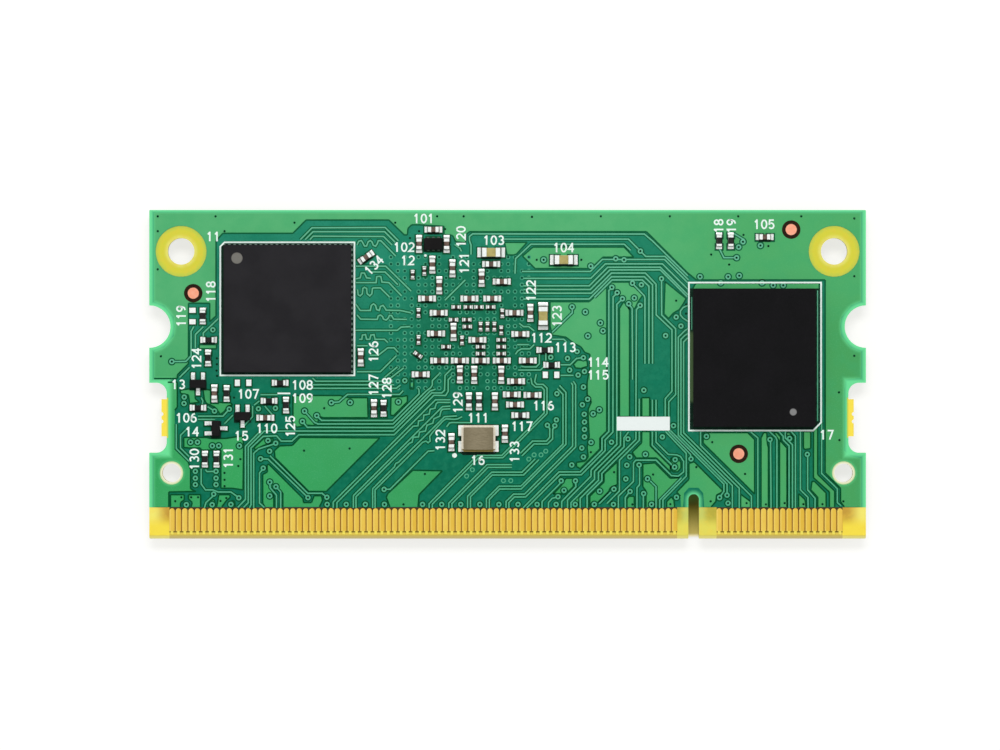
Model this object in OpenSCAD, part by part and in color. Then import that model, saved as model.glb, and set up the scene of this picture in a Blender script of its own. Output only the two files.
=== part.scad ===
// System on module: a small computer on a board that plugs into a 200-contact edge socket.
// X runs along the contact edge and Y from that edge to the edge opposite. Z points out of
// the face that carries the memory and flash packages. The origin lies under the board's
// centre, in the plane of the processor lid, on which the module rests.

/* [Board] */
// Length of the board along its contact edge
board_w = 67.6; // [67.6:0.1:74]
// Height of the board from its contact edge to the edge opposite
board_h = 31; // [30.4:0.1:38]
// Thickness of the laminate
board_t = 1; // [0.8:0.05:1.6]
// Radius of the board's four corners
corner_r = 0.1; // [0.1:0.05:0.8]
// Depth of the bevel on each face of the contact edge
bevel_d = 0.2; // [0.1:0.05:0.35]
// Height of that bevel up from the contact edge
bevel_h = 0.35; // [0.2:0.05:0.6]
// Thickness of the solder mask
mask_t = 0.03; // [0.02:0.005:0.04]
// Thickness of the lands, the edge contacts and the alignment marks
land_t = 0.05; // [0.04:0.005:0.08]
// Bare laminate between a land and the mask around it
mask_gap = 0.05; // [0.03:0.01:0.08]
// Diameter of a copper alignment mark
fiducial_d = 1.05; // [0.8:0.05:1.3]
// Diameter of the mask opening around an alignment mark
fiducial_ring_d = 1.75; // [1.5:0.05:2]

/* [Holes and notches] */
// Diameter of the two screw holes
screw_hole_d = 2.5; // [2.2:0.1:3.2]
// Diameter of the bare ring around a screw hole
screw_ring_d = 4.8; // [4:0.1:5.4]
// Screw hole centres in from the short edges
screw_from_side = 3; // [2.8:0.1:3.4]
// Screw hole centres down from the edge opposite the contacts
screw_from_top = 3.9; // [3:0.1:5]
// Diameter of the two locating holes
locating_hole_d = 1.75; // [1.5:0.05:2]
// Diameter of the bare ring around a locating hole
locating_ring_d = 2.2; // [2.1:0.05:2.6]
// Locating hole centres in from the short edges
locating_from_side = 2.1; // [1.8:0.1:2.4]
// Locating hole centres up from the contact edge
locating_up = 6.2; // [5:0.1:6.5]
// Radius of the half-round latch notches
latch_r = 2; // [1.5:0.1:2.4]
// Latch notch centres up from the contact edge
latch_up = 20; // [19:0.1:21]
// Depth of the side recesses
recess_d = 1.65; // [1.2:0.05:2]
// Length of the side recesses
recess_l = 6.6; // [5.5:0.1:7.5]
// Lower ends of the side recesses up from the contact edge
recess_up = 8.1; // [7.8:0.1:9]
// Radius of the inner corners of the side recesses
recess_r = 1; // [0.5:0.1:1.2]
// Length of the panel stub left in each side recess
stub_l = 3.5; // [2:0.1:4]
// How far that stub stands out of the recess wall
stub_d = 0.5; // [0.3:0.05:0.7]
// Diameter of the two drill bites left in the stub's broken edge
bite_d = 0.36; // [0.2:0.02:0.5]
// Distance between those bites
bite_pitch = 0.7; // [0.6:0.05:1.2]
// How far the mask stays back from the recess wall behind the stub
stub_bare = 0.15; // [0.05:0.05:0.3]
// Width of the key slot
key_w = 1; // [0.8:0.05:1.4]
// Depth of the key slot from the contact edge
key_d = 4.2; // [3:0.1:4.5]
// Centre of the key slot past the last contact of the long row
key_past_row = 1.8; // [1.6:0.1:2.4]

/* [Edge contacts] */
// Distance between neighbouring contacts
contact_pitch = 0.6; // [0.54:0.01:0.6]
// Width of a contact
contact_w = 0.5; // [0.35:0.01:0.52]
// Length of a contact
contact_l = 2.15; // [1.8:0.05:2.3]
// Width of the plating tail that runs from a contact towards the bevel
tail_w = 0.25; // [0.15:0.01:0.35]
// Length of that tail
tail_l = 0.32; // [0.1:0.01:0.4]
// Contacts in the long row of one face
long_row = 80; // [60:1:80]
// Contacts in the short row of one face
short_row = 20; // [10:1:20]
// First contact in from the left short edge, on the upper face
first_contact = 2.15; // [2:0.05:2.3]
// Distance between the centres of the contacts on either side of the key slot
row_gap = 4.2; // [4:0.1:4.3]

/* [Memory package] */
// Side of the square memory package
memory_w = 12; // [11.8:0.1:12.4]
// Thickness of its mould
memory_mould_t = 0.45; // [0.35:0.05:0.8]
// Diameter of its corner mark
memory_mark_d = 1.05; // [0.6:0.05:1.4]
// Centre of its corner mark in from both sides
memory_mark_in = 1.25; // [1:0.05:2]
// Solder balls along one side
memory_balls_side = 23; // [15:1:23]

/* [Flash package] */
// Width of the flash package
flash_w = 11.5; // [11:0.1:12]
// Height of the flash package
flash_h = 13; // [12:0.1:13.4]
// Thickness of its mould
flash_mould_t = 0.6; // [0.5:0.05:1]
// Diameter of its corner mark
flash_mark_d = 0.65; // [0.4:0.05:1]
// Centre of its corner mark in from the long side
flash_mark_in_x = 2.1; // [1:0.05:3]
// Centre of its corner mark in from the short side
flash_mark_in_y = 1.4; // [1:0.05:3]

/* [Both memory and flash] */
// Thickness of the package substrates
substrate_t = 0.15; // [0.1:0.01:0.25]
// Pitch of the solder balls
ball_pitch = 0.5; // [0.48:0.01:0.51]
// Largest diameter of a solder ball
ball_d = 0.3; // [0.24:0.01:0.34]
// Height of a solder ball after soldering
ball_h = 0.2; // [0.16:0.01:0.22]
// Depth of the corner marks
mark_depth = 0.03; // [0.02:0.01:0.06]

/* [Processor package] */
// Side of the square processor substrate
processor_w = 14; // [13.6:0.1:15]
// Thickness of the processor substrate
processor_substrate_t = 0.4; // [0.3:0.05:0.6]
// Side of the lid's flange
lid_w = 13.2; // [12.6:0.1:13.5]
// Side of the lid's raised middle
lid_top_w = 10.8; // [10.2:0.1:11.4]
// Height of the lid
lid_h = 0.75; // [0.65:0.05:1]
// Thickness of the lid's sheet
lid_t = 0.25; // [0.2:0.01:0.3]
// Radius of the lid's corners
lid_r = 0.8; // [0.4:0.1:1.2]
// Width of the silicon die
die_w = 8; // [6:0.1:9]
// Height of the silicon die
die_h = 6.5; // [5:0.1:8]
// Thickness of the silicon die
die_t = 0.35; // [0.25:0.01:0.38]
// Pitch of the processor's solder balls
processor_pitch = 0.65; // [0.6:0.01:0.66]
// Solder balls along one side of the processor
processor_balls_side = 20; // [14:2:20]
// Largest diameter of a processor solder ball
processor_ball_d = 0.4; // [0.34:0.01:0.44]
// Height of a processor solder ball after soldering
processor_ball_h = 0.28; // [0.22:0.01:0.3]

/* [Crystal] */
// Length of the crystal
crystal_l = 3.2; // [3:0.05:3.4]
// Width of the crystal
crystal_w = 2.5; // [2.2:0.05:2.6]
// Height of its ceramic base
crystal_base_h = 0.5; // [0.4:0.05:0.7]
// Height of its metal lid
crystal_lid_h = 0.22; // [0.15:0.01:0.3]
// Ceramic rim left showing around the lid
crystal_rim = 0.2; // [0.15:0.01:0.3]
// Radius of the notches down the corners of its base
crystal_notch_r = 0.2; // [0.1:0.01:0.3]
// Radius of the corners of its lid
crystal_lid_r = 0.12; // [0.1:0.01:0.4]
// Length of one of its four lands
crystal_land_l = 1.2; // [0.9:0.05:1.4]
// Width of one of its four lands
crystal_land_w = 1; // [0.8:0.05:1.1]
// How far its lands reach out past its ends
crystal_land_out = 0.3; // [0.1:0.05:0.35]

/* [Chip parts] */
// Length of a small chip part
small_l = 1; // [0.95:0.01:1.1]
// Width of a small chip part
small_w = 0.5; // [0.45:0.01:0.54]
// Height of a small capacitor or bead
small_h = 0.5; // [0.4:0.01:0.55]
// Length of a small capacitor's or bead's end cap
small_end = 0.3; // [0.2:0.01:0.34]
// Height of a chip resistor
resistor_h = 0.35; // [0.3:0.01:0.45]
// Length of a chip resistor's end cap
resistor_end = 0.2; // [0.15:0.01:0.3]
// Thickness of a resistor's dark top coat
coat_t = 0.03; // [0.02:0.005:0.05]
// Length of a tiny capacitor
tiny_l = 0.6; // [0.55:0.01:0.64]
// Width of a tiny capacitor
tiny_w = 0.3; // [0.26:0.01:0.34]
// Height of a tiny capacitor
tiny_h = 0.3; // [0.25:0.01:0.35]
// Length of a tiny capacitor's end cap
tiny_end = 0.17; // [0.12:0.01:0.2]
// Length of a bulk capacitor
bulk_l = 1.7; // [1.6:0.01:1.8]
// Width of a bulk capacitor
bulk_w = 0.85; // [0.8:0.01:0.9]
// Height of a bulk capacitor
bulk_h = 0.8; // [0.6:0.01:0.9]
// Length of a bulk capacitor's end cap
bulk_end = 0.42; // [0.3:0.01:0.5]
// Thickness of the metal of an end cap
end_t = 0.02; // [0.01:0.005:0.03]
// How far a solder fillet runs out past a small capacitor or bead
small_fillet = 0.34; // [0.25:0.01:0.36]
// How far a solder fillet runs out past a chip resistor
resistor_fillet = 0.28; // [0.2:0.01:0.36]
// How far a solder fillet runs out past a tiny capacitor
tiny_fillet = 0.14; // [0.1:0.01:0.16]
// How far a solder fillet runs out past a bulk capacitor
bulk_fillet = 0.45; // [0.35:0.01:0.5]
// How high a solder fillet climbs, as a share of the part's height
fillet_climb = 0.75; // [0.5:0.05:0.9]
// How far a solder fillet spreads past the sides of the part
fillet_side = 0.03; // [0:0.01:0.05]
// How far a land reaches past the sides of the part on it
land_side = 0.05; // [0.05:0.01:0.1]

/* [Transistors and small chips] */
// Length of a transistor's mould
transistor_l = 1.45; // [1.35:0.01:1.55]
// Width of a transistor's mould
transistor_w = 0.8; // [0.7:0.01:0.85]
// Height of a transistor's mould
transistor_h = 0.65; // [0.55:0.01:0.75]
// Distance between the two leads on one side
lead_pitch = 0.95; // [0.9:0.01:1]
// Width of a lead
lead_w = 0.28; // [0.2:0.01:0.32]
// Thickness of a lead
lead_t = 0.12; // [0.08:0.01:0.14]
// Span over the tips of the leads
lead_span = 1.75; // [1.65:0.01:1.85]
// How far a lead runs level out of the mould before it drops
lead_reach = 0.1; // [0.06:0.01:0.15]
// How far a lead's land reaches past its tip
lead_toe = 0.2; // [0.1:0.01:0.25]
// Length of the load switch
switch_l = 1.7; // [1.5:0.01:1.8]
// Width of the load switch
switch_w = 1.1; // [1:0.01:1.2]
// Height of the load switch
switch_h = 0.5; // [0.4:0.01:0.6]
// Terminals along each long side of the load switch
switch_pins = 3; // [2:1:3]
// Pitch of the load switch's terminals
switch_pitch = 0.5; // [0.45:0.01:0.55]
// How far the load switch's lands reach out past its sides
switch_toe = 0.12; // [0.1:0.01:0.2]

/* [Power parts under the board] */
// Side of an inductor's core
inductor_w = 3; // [2.6:0.1:3.4]
// Height of an inductor
inductor_h = 1.2; // [0.9:0.05:1.25]
// Length of an inductor's end plates along its underside
inductor_end = 0.7; // [0.5:0.05:0.9]
// Thickness of an inductor's end plates
inductor_plate_t = 0.1; // [0.06:0.01:0.15]
// How high an inductor's end plates climb
inductor_plate_h = 0.85; // [0.5:0.05:0.85]
// Core left showing on each side of an inductor's end plates
inductor_plate_in = 0.3; // [0.2:0.05:0.6]
// Radius of the corners of an inductor's core
inductor_r = 0.3; // [0.1:0.05:0.3]
// How far an inductor's lands reach out past its ends
inductor_toe = 0.25; // [0.1:0.05:0.3]
// Side of a power converter
converter_w = 3; // [2.8:0.1:3.2]
// Height of a power converter
converter_h = 0.75; // [0.6:0.05:0.9]
// Pitch of a power converter's terminals
converter_pitch = 0.5; // [0.4:0.01:0.55]
// Terminals along each side of a power converter
converter_pins = 5; // [3:1:5]
// How far a power converter's lands reach out past its sides
converter_toe = 0.25; // [0.2:0.01:0.35]

/* [Hidden] */
$fn = 48;

// Edges of the board, which the places below are measured from
left_x = -board_w / 2;
right_x = board_w / 2;
edge_y = -board_h / 2;
top_y = board_h / 2;

// The parts under the board, counted down from its lower face
processor_stack = processor_ball_h + processor_substrate_t + lid_h;
inductor_stack = land_t + inductor_h;
lower_z = max(processor_stack, inductor_stack);
upper_z = lower_z + board_t;

// Contact rows: the long row lies left of the key slot, the short row right of it
long_row_l = (long_row - 1) * contact_pitch;
key_x = left_x + first_contact + long_row_l + key_past_row;
tail_up = bevel_h + 0.04;
contact_up = tail_up + tail_l;
contact_to_mask = 0.1;
mask_up = contact_up + contact_l + contact_to_mask;
face_stagger = contact_pitch / 2;

// Chip part kinds: length, width, height, end cap, fillet run
SMALL = [small_l, small_w, small_h, small_end, small_fillet];
RESISTOR = [small_l, small_w, resistor_h, resistor_end, resistor_fillet];
TINY = [tiny_l, tiny_w, tiny_h, tiny_end, tiny_fillet];
BULK = [bulk_l, bulk_w, bulk_h, bulk_end, bulk_fillet];
// Where a solder ball's straight belt starts, as a share of its height
barrel_low = 0.35;
// Flats that make up the hollow of a solder fillet
fillet_steps = 4;
// Height of the middle of a transistor's lead where it leaves the mould
lead_z = land_t + transistor_h * 0.45;
// Slope of a transistor's mould above and below its leads
mould_draft = 0.05;
plate_w = inductor_w - 2 * inductor_plate_in;
lid_z = processor_ball_h + processor_substrate_t;
flash_balls_side = 14;

// Places are [x, y, turn]. Y counts up from the contact edge. X counts from the left edge,
// from the board's centre line or from the right edge, and the part moves with that line.
function from_left(places) = [for (p = places) [left_x + p[0], edge_y + p[1], p[2]]];
function from_centre(places) = [for (p = places) [p[0], edge_y + p[1], p[2]]];
function from_right(places) = [for (p = places) [right_x + p[0], edge_y + p[1], p[2]]];

memory_place = from_left([[13.05, 21.7, 0]]);
flash_place = from_right([[-10.55, 17.05, 180]]);
processor_place = from_centre([[-3.5, 20.1, 0]]);
crystal_place = from_centre([[-2.75, 9.45, 0]]);
switch_place = from_centre([[-7.0, 27.8, 0]]);

transistor_places = from_left([[4.6, 14.6, 0], [8.8, 11.55, 0], [6.3, 10.4, 90]]);
fiducial_places = concat(
    from_left([[4.15, 23.15, 0]]),
    from_right([[-7.05, 29.15, 0], [-12, 8, 0]]));

small_capacitor_places = concat(
    from_left([
        [6.15, 13.7, 90], [10.95, 11.4, 0], [19.95, 17.1, 90], [20.45, 26.55, 35],
        [21.2, 12.3, 90]]),
    from_centre([
        [-7, 29.15, 0], [-8.35, 27.8, 90], [-5.75, 27.8, 90], [-7.1, 25.85, 90],
        [-5.2, 25.5, 90], [-6.45, 23.9, 90], [-1.55, 25.9, 0], [-2.45, 24.6, 90],
        [-0.55, 24.25, 0], [-7.6, 22.65, 0], [-3.6, 22.65, 0], [-1.45, 22.65, 0],
        [-6.5, 21.3, 0], [0.65, 21.3, 0], [2.15, 21.3, 90], [-5.1, 19.5, 90],
        [-6.75, 19.35, 0], [1.2, 19.3, 0], [-2.85, 18.75, 0], [-6.45, 16.8, 0],
        [-4.5, 16.8, 0], [-2.55, 16.8, 0], [-0.55, 16.8, 0], [1.9, 16.8, 0],
        [-8.2, 15.5, 0], [-4.5, 15.5, 90], [-3.15, 15.45, 90], [-0.6, 15.45, 90],
        [0.8, 14.85, 0], [-1.2, 12.95, 90], [0.4, 13.6, 0], [2.35, 13.55, 0],
        [0.7, 12.65, 0], [-5.3, 9.1, 90], [-0.25, 9.9, 90]]),
    from_right([[-9.55, 28.45, 0]]));

tiny_capacitor_places = from_centre([
    [-8.95, 24.9, 90], [-7.85, 25.25, 90], [-4.85, 21.85, 0], [-3.7, 21.85, 0],
    [-2.7, 21.85, 0], [-1.6, 21.85, 0], [-8.4, 21.3, 90], [-0.5, 21.25, 90],
    [-5.1, 20.65, 0], [-3.85, 20.65, 0], [-3.8, 20, 0], [-4.3, 18.7, 90],
    [-2.55, 20, 90], [-1.9, 20, 90], [-1.25, 20, 90], [-0.6, 19.65, 90],
    [-8.4, 18.75, 90], [-5.8, 18.1, 0], [-2.55, 18.1, 0], [-0.6, 18.75, 0],
    [-0.6, 18.1, 0], [-0.6, 17.45, 0], [-2.55, 17.45, 0], [-8.45, 17.35, -35]]);

bulk_capacitor_places = from_centre([[-1.55, 27, 0], [5.3, 26.3, 0], [3.35, 21, 90]]);

bead_places = from_centre([[-3.65, 12.95, 90], [-2.7, 12.95, 90], [1.2, 11.65, 0]]);

resistor_places = concat(
    from_left([
        [5.05, 21, 90], [5.6, 18.75, 0], [5.55, 17.05, 90], [7.3, 13.7, 90],
        [4.6, 12.35, 0], [12.35, 14.7, 0], [11.3, 13, 0], [12.9, 12.6, 90],
        [5.25, 7.5, 90], [6.35, 7.5, 90], [22.1, 12.3, 90]]),
    from_centre([[3.5, 17.8, 0], [4.15, 16.4, 0]]),
    from_right([[-13.85, 28.1, 90], [-12.75, 28.1, 90]]));

// Pairs of lands that carry no part
empty_places = concat(
    from_left([[4.08, 21, 90], [8.85, 14.7, 0]]),
    from_centre([[4.1, 15.45, 0]]));

// Places under the board, seen through it from above
inductor_places = from_right([[-20.2, 21.5, 0], [-20.2, 16.5, 0]]);
converter_places = from_right([[-15.2, 21.5, 0], [-15.2, 16.5, 0]]);
lower_bulk_places = from_right([
    [-23.6, 21.5, 90], [-23.6, 16.5, 90], [-11.6, 21.5, 90], [-11.6, 16.5, 90]]);
lower_capacitor_places = concat(
    from_centre([
        [-12.4, 25.5, 90], [-12.4, 22.5, 90], [-12.4, 19.5, 90], [-12.4, 16.5, 90],
        [5.4, 25.5, 90], [5.4, 22.5, 90], [5.4, 19.5, 90], [5.4, 16.5, 90],
        [-8, 11, 0], [-5, 11, 0], [-2, 11, 0], [1, 11, 0]]),
    from_right([[-15.2, 25, 0], [-15.2, 13, 0]]));
lower_resistor_places = concat(
    from_left([[14, 9, 90], [15.3, 9, 90], [16.6, 9, 90], [17.9, 9, 90]]),
    from_right([[-9, 23, 90], [-7.7, 23, 90], [-9, 15, 90], [-7.7, 15, 90]]));

// Placing

// Children are drawn as on the upper face, with Z counted up from it
module on_upper() translate([0, 0, upper_z]) children();

// Children are drawn as on the lower face, with Z counted down from it
module on_lower() translate([0, 0, lower_z]) mirror([0, 0, 1]) children();

module at(places) for (p = places) translate([p[0], p[1], 0]) rotate(p[2]) children();

module both_sides() {
    children();
    mirror([1, 0]) children();
}

// A square with its corners rounded by true arcs
module rounded_square(w, h, r) {
    square([w - 2 * r, h], center = true);
    square([w, h - 2 * r], center = true);
    for (x = [-1, 1], y = [-1, 1])
        translate([x * (w / 2 - r), y * (h / 2 - r)]) circle(r);
}

module block(l, w, h, z = 0) translate([-l / 2, -w / 2, z]) cube([l, w, h]);

// Board

// Children are drawn at the middle of the wall of the recess at the right edge
module recess_wall()
    translate([right_x - recess_d, edge_y + recess_up + recess_l / 2]) children();

// What a broken panel tab leaves: a stub with two drill bites in its edge
module stub() {
    difference() {
        translate([0, -stub_l / 2]) square([stub_d, stub_l]);
        for (s = [-1, 1]) translate([stub_d, s * bite_pitch / 2]) circle(d = bite_d);
    }
}

// Side recess at the right edge, with the stub left standing in it
module side_recess() {
    over = recess_r + 1;
    recess_wall()
        difference() {
            translate([(recess_d + over) / 2, 0])
                rounded_square(recess_d + over, recess_l, recess_r);
            stub();
        }
}

module key_slot() {
    translate([key_x, edge_y]) {
        translate([-key_w / 2, -1]) square([key_w, key_d + 1 - key_w / 2]);
        translate([0, key_d - key_w / 2]) circle(key_w / 2);
    }
}

module screw_centre() translate([right_x - screw_from_side, top_y - screw_from_top]) children();

module locating_centre()
    translate([right_x - locating_from_side, edge_y + locating_up]) children();

module board_outline() {
    difference() {
        rounded_square(board_w, board_h, corner_r);
        both_sides() {
            translate([right_x, edge_y + latch_up]) circle(latch_r);
            side_recess();
            screw_centre() circle(d = screw_hole_d);
            locating_centre() circle(d = locating_hole_d);
        }
        key_slot();
    }
}

// Wedge that takes one face's bevel off the contact edge
module edge_bevel() {
    rotate([90, 0, 90])
        linear_extrude(board_w + 2, center = true)
            polygon([
                [edge_y - 1, -bevel_d * (1 + 1 / bevel_h)], [edge_y + bevel_h, 0],
                [edge_y + bevel_h, 1], [edge_y - 1, 1]]);
}

module board() {
    color("gold")
        difference() {
            translate([0, 0, lower_z]) linear_extrude(board_t) board_outline();
            on_upper() edge_bevel();
            on_lower() edge_bevel();
        }
}

// Solder mask, lands and contacts

module mask() {
    linear_extrude(mask_t)
        difference() {
            board_outline();
            translate([left_x - 1, edge_y - 1]) square([board_w + 2, mask_up + 1]);
            both_sides() {
                screw_centre() circle(d = screw_ring_d);
                locating_centre() circle(d = locating_ring_d);
                recess_wall() translate([-stub_bare, -stub_l / 2 - stub_bare])
                    square([recess_d, stub_l + 2 * stub_bare]);
            }
            children();
        }
}

module upper_solder_mask() {
    color("seagreen") on_upper() mask() {
        upper_land_shapes(mask_gap);
        at(fiducial_places) circle(d = fiducial_ring_d);
        at(memory_place) memory_grid() circle(d = ball_land_d(ball_d, ball_h) + 2 * mask_gap);
        at(flash_place) flash_grid() circle(d = ball_land_d(ball_d, ball_h) + 2 * mask_gap);
    }
}

module lower_solder_mask() {
    color("seagreen") on_lower() mask() {
        lower_land_shapes(mask_gap);
        at(processor_place) processor_grid()
            circle(d = ball_land_d(processor_ball_d, processor_ball_h) + 2 * mask_gap);
    }
}

module fiducial_marks()
    color("lightsalmon") on_upper() at(fiducial_places) cylinder(d = fiducial_d, h = land_t);

// One contact, with a round end towards the mask and a narrow tail towards the bevel
module contact() {
    translate([-tail_w / 2, tail_up]) square([tail_w, contact_l / 2]);
    translate([-contact_w / 2, contact_up]) square([contact_w, contact_l - contact_w / 2]);
    translate([0, contact_up + contact_l - contact_w / 2]) circle(contact_w / 2);
}

module contact_row(count, x)
    for (i = [0:count - 1])
        translate([x + i * contact_pitch, edge_y, 0]) linear_extrude(land_t) contact();

// Both rows of one face, moved along the edge by the stagger between the faces
module contact_rows(stagger) {
    start = left_x + first_contact + stagger;
    contact_row(long_row, start);
    contact_row(short_row, start + long_row_l + row_gap);
}

module upper_contacts() color("goldenrod") on_upper() contact_rows(0);

module lower_contacts() color("goldenrod") on_lower() contact_rows(face_stagger);

// The two lands of a chip part, under its end caps and fillets
module chip_lands(kind, grow) {
    inner = kind[0] / 2 - kind[3];
    outer = kind[0] / 2 + kind[4];
    wide = kind[1] + 2 * land_side;
    for (s = [-1, 1])
        translate([s * (inner + outer) / 2, 0])
            square([outer - inner + 2 * grow, wide + 2 * grow], center = true);
}

// The three lands of a transistor, under the feet of its leads
module transistor_lands(grow) {
    inner = transistor_w / 2;
    outer = lead_span / 2 + lead_toe;
    wide = lead_w + 2 * land_side;
    for (p = [[-lead_pitch / 2, 1], [lead_pitch / 2, 1], [0, -1]])
        translate([p[0], p[1] * (inner + outer) / 2])
            square([wide + 2 * grow, outer - inner + 2 * grow], center = true);
}

module crystal_lands(grow)
    for (x = [-1, 1], y = [-1, 1])
        translate([
            x * (crystal_l / 2 + crystal_land_out - crystal_land_l / 2),
            y * (crystal_w - crystal_land_w) / 2])
            square([crystal_land_l + 2 * grow, crystal_land_w + 2 * grow], center = true);

// A row of lands centred on Y, half under the part's side at X = side and half out past it
module pin_lands(side, pins, pitch, toe, grow)
    for (i = [0:pins - 1])
        translate([side, (i - (pins - 1) / 2) * pitch])
            square([2 * (toe + grow), pitch / 2 + 2 * grow], center = true);

module switch_lands(grow)
    for (turn = [90, 270])
        rotate(turn) pin_lands(switch_w / 2, switch_pins, switch_pitch, switch_toe, grow);

module converter_lands(grow) {
    for (turn = [0:90:270])
        rotate(turn) pin_lands(converter_w / 2, converter_pins, converter_pitch, converter_toe, grow);
    square(converter_w - 4 * converter_toe + 2 * grow, center = true);
}

module inductor_lands(grow)
    for (s = [-1, 1])
        translate([s * (inductor_w - inductor_end + inductor_toe) / 2, 0])
            square([inductor_end + inductor_toe + 2 * grow, plate_w + 2 * grow], center = true);

module upper_land_shapes(grow) {
    at(small_capacitor_places) chip_lands(SMALL, grow);
    at(bead_places) chip_lands(SMALL, grow);
    at(resistor_places) chip_lands(RESISTOR, grow);
    at(empty_places) chip_lands(RESISTOR, grow);
    at(tiny_capacitor_places) chip_lands(TINY, grow);
    at(bulk_capacitor_places) chip_lands(BULK, grow);
    at(transistor_places) transistor_lands(grow);
    at(crystal_place) crystal_lands(grow);
    at(switch_place) switch_lands(grow);
}

module lower_land_shapes(grow) {
    at(lower_capacitor_places) chip_lands(SMALL, grow);
    at(lower_resistor_places) chip_lands(RESISTOR, grow);
    at(lower_bulk_places) chip_lands(BULK, grow);
    at(inductor_places) inductor_lands(grow);
    at(converter_places) converter_lands(grow);
}

module upper_lands() color("gainsboro") on_upper() linear_extrude(land_t) upper_land_shapes(0);

module lower_lands() color("gainsboro") on_lower() linear_extrude(land_t) lower_land_shapes(0);

// Ball grid packages

// Diameter of the flat that a ball of this size and height sits on
function ball_land_d(d, h) = sqrt(d * d - h * h);

// A soldered ball, pressed to a barrel between the land below and the substrate above
module ball(d, h) {
    flat_r = ball_land_d(d, h) / 2;
    rotate_extrude()
        polygon([
            [0, 0], [flat_r, 0], [d / 2, h * barrel_low], [d / 2, h * (1 - barrel_low)],
            [flat_r, h], [0, h]]);
}

// Children at each place [i, j] of an n by n grid where keep says so
module grid(n, pitch, keep)
    for (i = [0:n - 1], j = [0:n - 1])
        if (keep(i, j))
            translate([(i - (n - 1) / 2) * pitch, (j - (n - 1) / 2) * pitch]) children();

// How many places a grid place lies in from the nearest side of the grid
function ring(i, j, n) = min(i, j, n - 1 - i, n - 1 - j);

// The memory has two rings of balls
module memory_grid()
    grid(memory_balls_side, ball_pitch, function(i, j) ring(i, j, memory_balls_side) < 2)
        children();

// The flash has three rings of balls, a single inner ring and one ball that marks a corner
module flash_grid()
    grid(flash_balls_side, ball_pitch, function(i, j)
        let (r = ring(i, j, flash_balls_side)) r < 3 || r == 4 || (i == 3 && j == 10))
        children();

// The processor has four rings of balls around a square of ground balls
module processor_grid()
    grid(processor_balls_side, processor_pitch, function(i, j)
        let (r = ring(i, j, processor_balls_side)) r < 4 || r > 5)
        children();

module memory_balls()
    color("silver") on_upper() at(memory_place) memory_grid() ball(ball_d, ball_h);

module flash_balls()
    color("silver") on_upper() at(flash_place) flash_grid() ball(ball_d, ball_h);

module processor_balls()
    color("silver") on_lower() at(processor_place) processor_grid()
        ball(processor_ball_d, processor_ball_h);

module memory_substrate()
    color("darkolivegreen") on_upper() at(memory_place)
        block(memory_w, memory_w, substrate_t, ball_h);

module flash_substrate()
    color("darkolivegreen") on_upper() at(flash_place)
        block(flash_w, flash_h, substrate_t, ball_h);

// A moulded block with a round mark sunk into its top, in from two sides
module marked_mould(w, h, t, mark_d, mark_x, mark_y) {
    difference() {
        block(w, h, t);
        translate([mark_x, mark_y, t - mark_depth]) cylinder(d = mark_d, h = mark_depth + 1);
    }
}

module memory_mould()
    color("dimgray") on_upper() at(memory_place) translate([0, 0, ball_h + substrate_t])
        marked_mould(memory_w, memory_w, memory_mould_t, memory_mark_d,
            memory_mark_in - memory_w / 2, memory_w / 2 - memory_mark_in);

module flash_mould()
    color("dimgray") on_upper() at(flash_place) translate([0, 0, ball_h + substrate_t])
        marked_mould(flash_w, flash_h, flash_mould_t, flash_mark_d,
            flash_mark_in_x - flash_w / 2, flash_h / 2 - flash_mark_in_y);

// Processor: the die sits on the substrate, with paste between it and the lid

module processor_substrate()
    color("darkolivegreen") on_lower() at(processor_place)
        block(processor_w, processor_w, processor_substrate_t, processor_ball_h);

module processor_die()
    color("slategray") on_lower() at(processor_place) block(die_w, die_h, die_t, lid_z);

module processor_paste()
    color("lightgray") on_lower() at(processor_place)
        block(die_w, die_h, lid_h - lid_t - die_t, lid_z + die_t);

// A stamped lid: a flange on the substrate, a raised middle and a hollow for the die
module processor_lid()
    color("silver") on_lower() at(processor_place) translate([0, 0, lid_z])
        difference() {
            union() {
                linear_extrude(lid_t) rounded_square(lid_w, lid_w, lid_r);
                linear_extrude(lid_h) rounded_square(lid_top_w, lid_top_w, lid_r);
            }
            translate([0, 0, -1])
                linear_extrude(lid_h - lid_t + 1)
                    rounded_square(lid_top_w - 2 * lid_t, lid_top_w - 2 * lid_t, lid_r - lid_t);
        }

// Crystal: a ceramic base with a notch down each corner and a metal lid

module crystal_base()
    color("beige") on_upper() at(crystal_place) translate([0, 0, land_t])
        linear_extrude(crystal_base_h)
            difference() {
                square([crystal_l, crystal_w], center = true);
                for (x = [-1, 1], y = [-1, 1])
                    translate([x * crystal_l / 2, y * crystal_w / 2]) circle(crystal_notch_r);
            }

module crystal_lid()
    color("tan") on_upper() at(crystal_place) translate([0, 0, land_t + crystal_base_h])
        linear_extrude(crystal_lid_h)
            rounded_square(crystal_l - 2 * crystal_rim, crystal_w - 2 * crystal_rim, crystal_lid_r);

module load_switch()
    color("dimgray") on_upper() at(switch_place) block(switch_l, switch_w, switch_h, land_t);

// Transistors

// A mould with a straight belt where the leads come out and drafted faces above and below
module transistor_mould() {
    half = transistor_w / 2;
    low = land_t + 0.03;
    high = land_t + transistor_h;
    rotate([90, 0, 90])
        linear_extrude(transistor_l, center = true)
            polygon([
                [half - mould_draft, low], [half, lead_z - lead_t / 2],
                [half, lead_z + lead_t / 2], [half - mould_draft, high],
                [mould_draft - half, high], [-half, lead_z + lead_t / 2],
                [-half, lead_z - lead_t / 2], [mould_draft - half, low]]);
}

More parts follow.
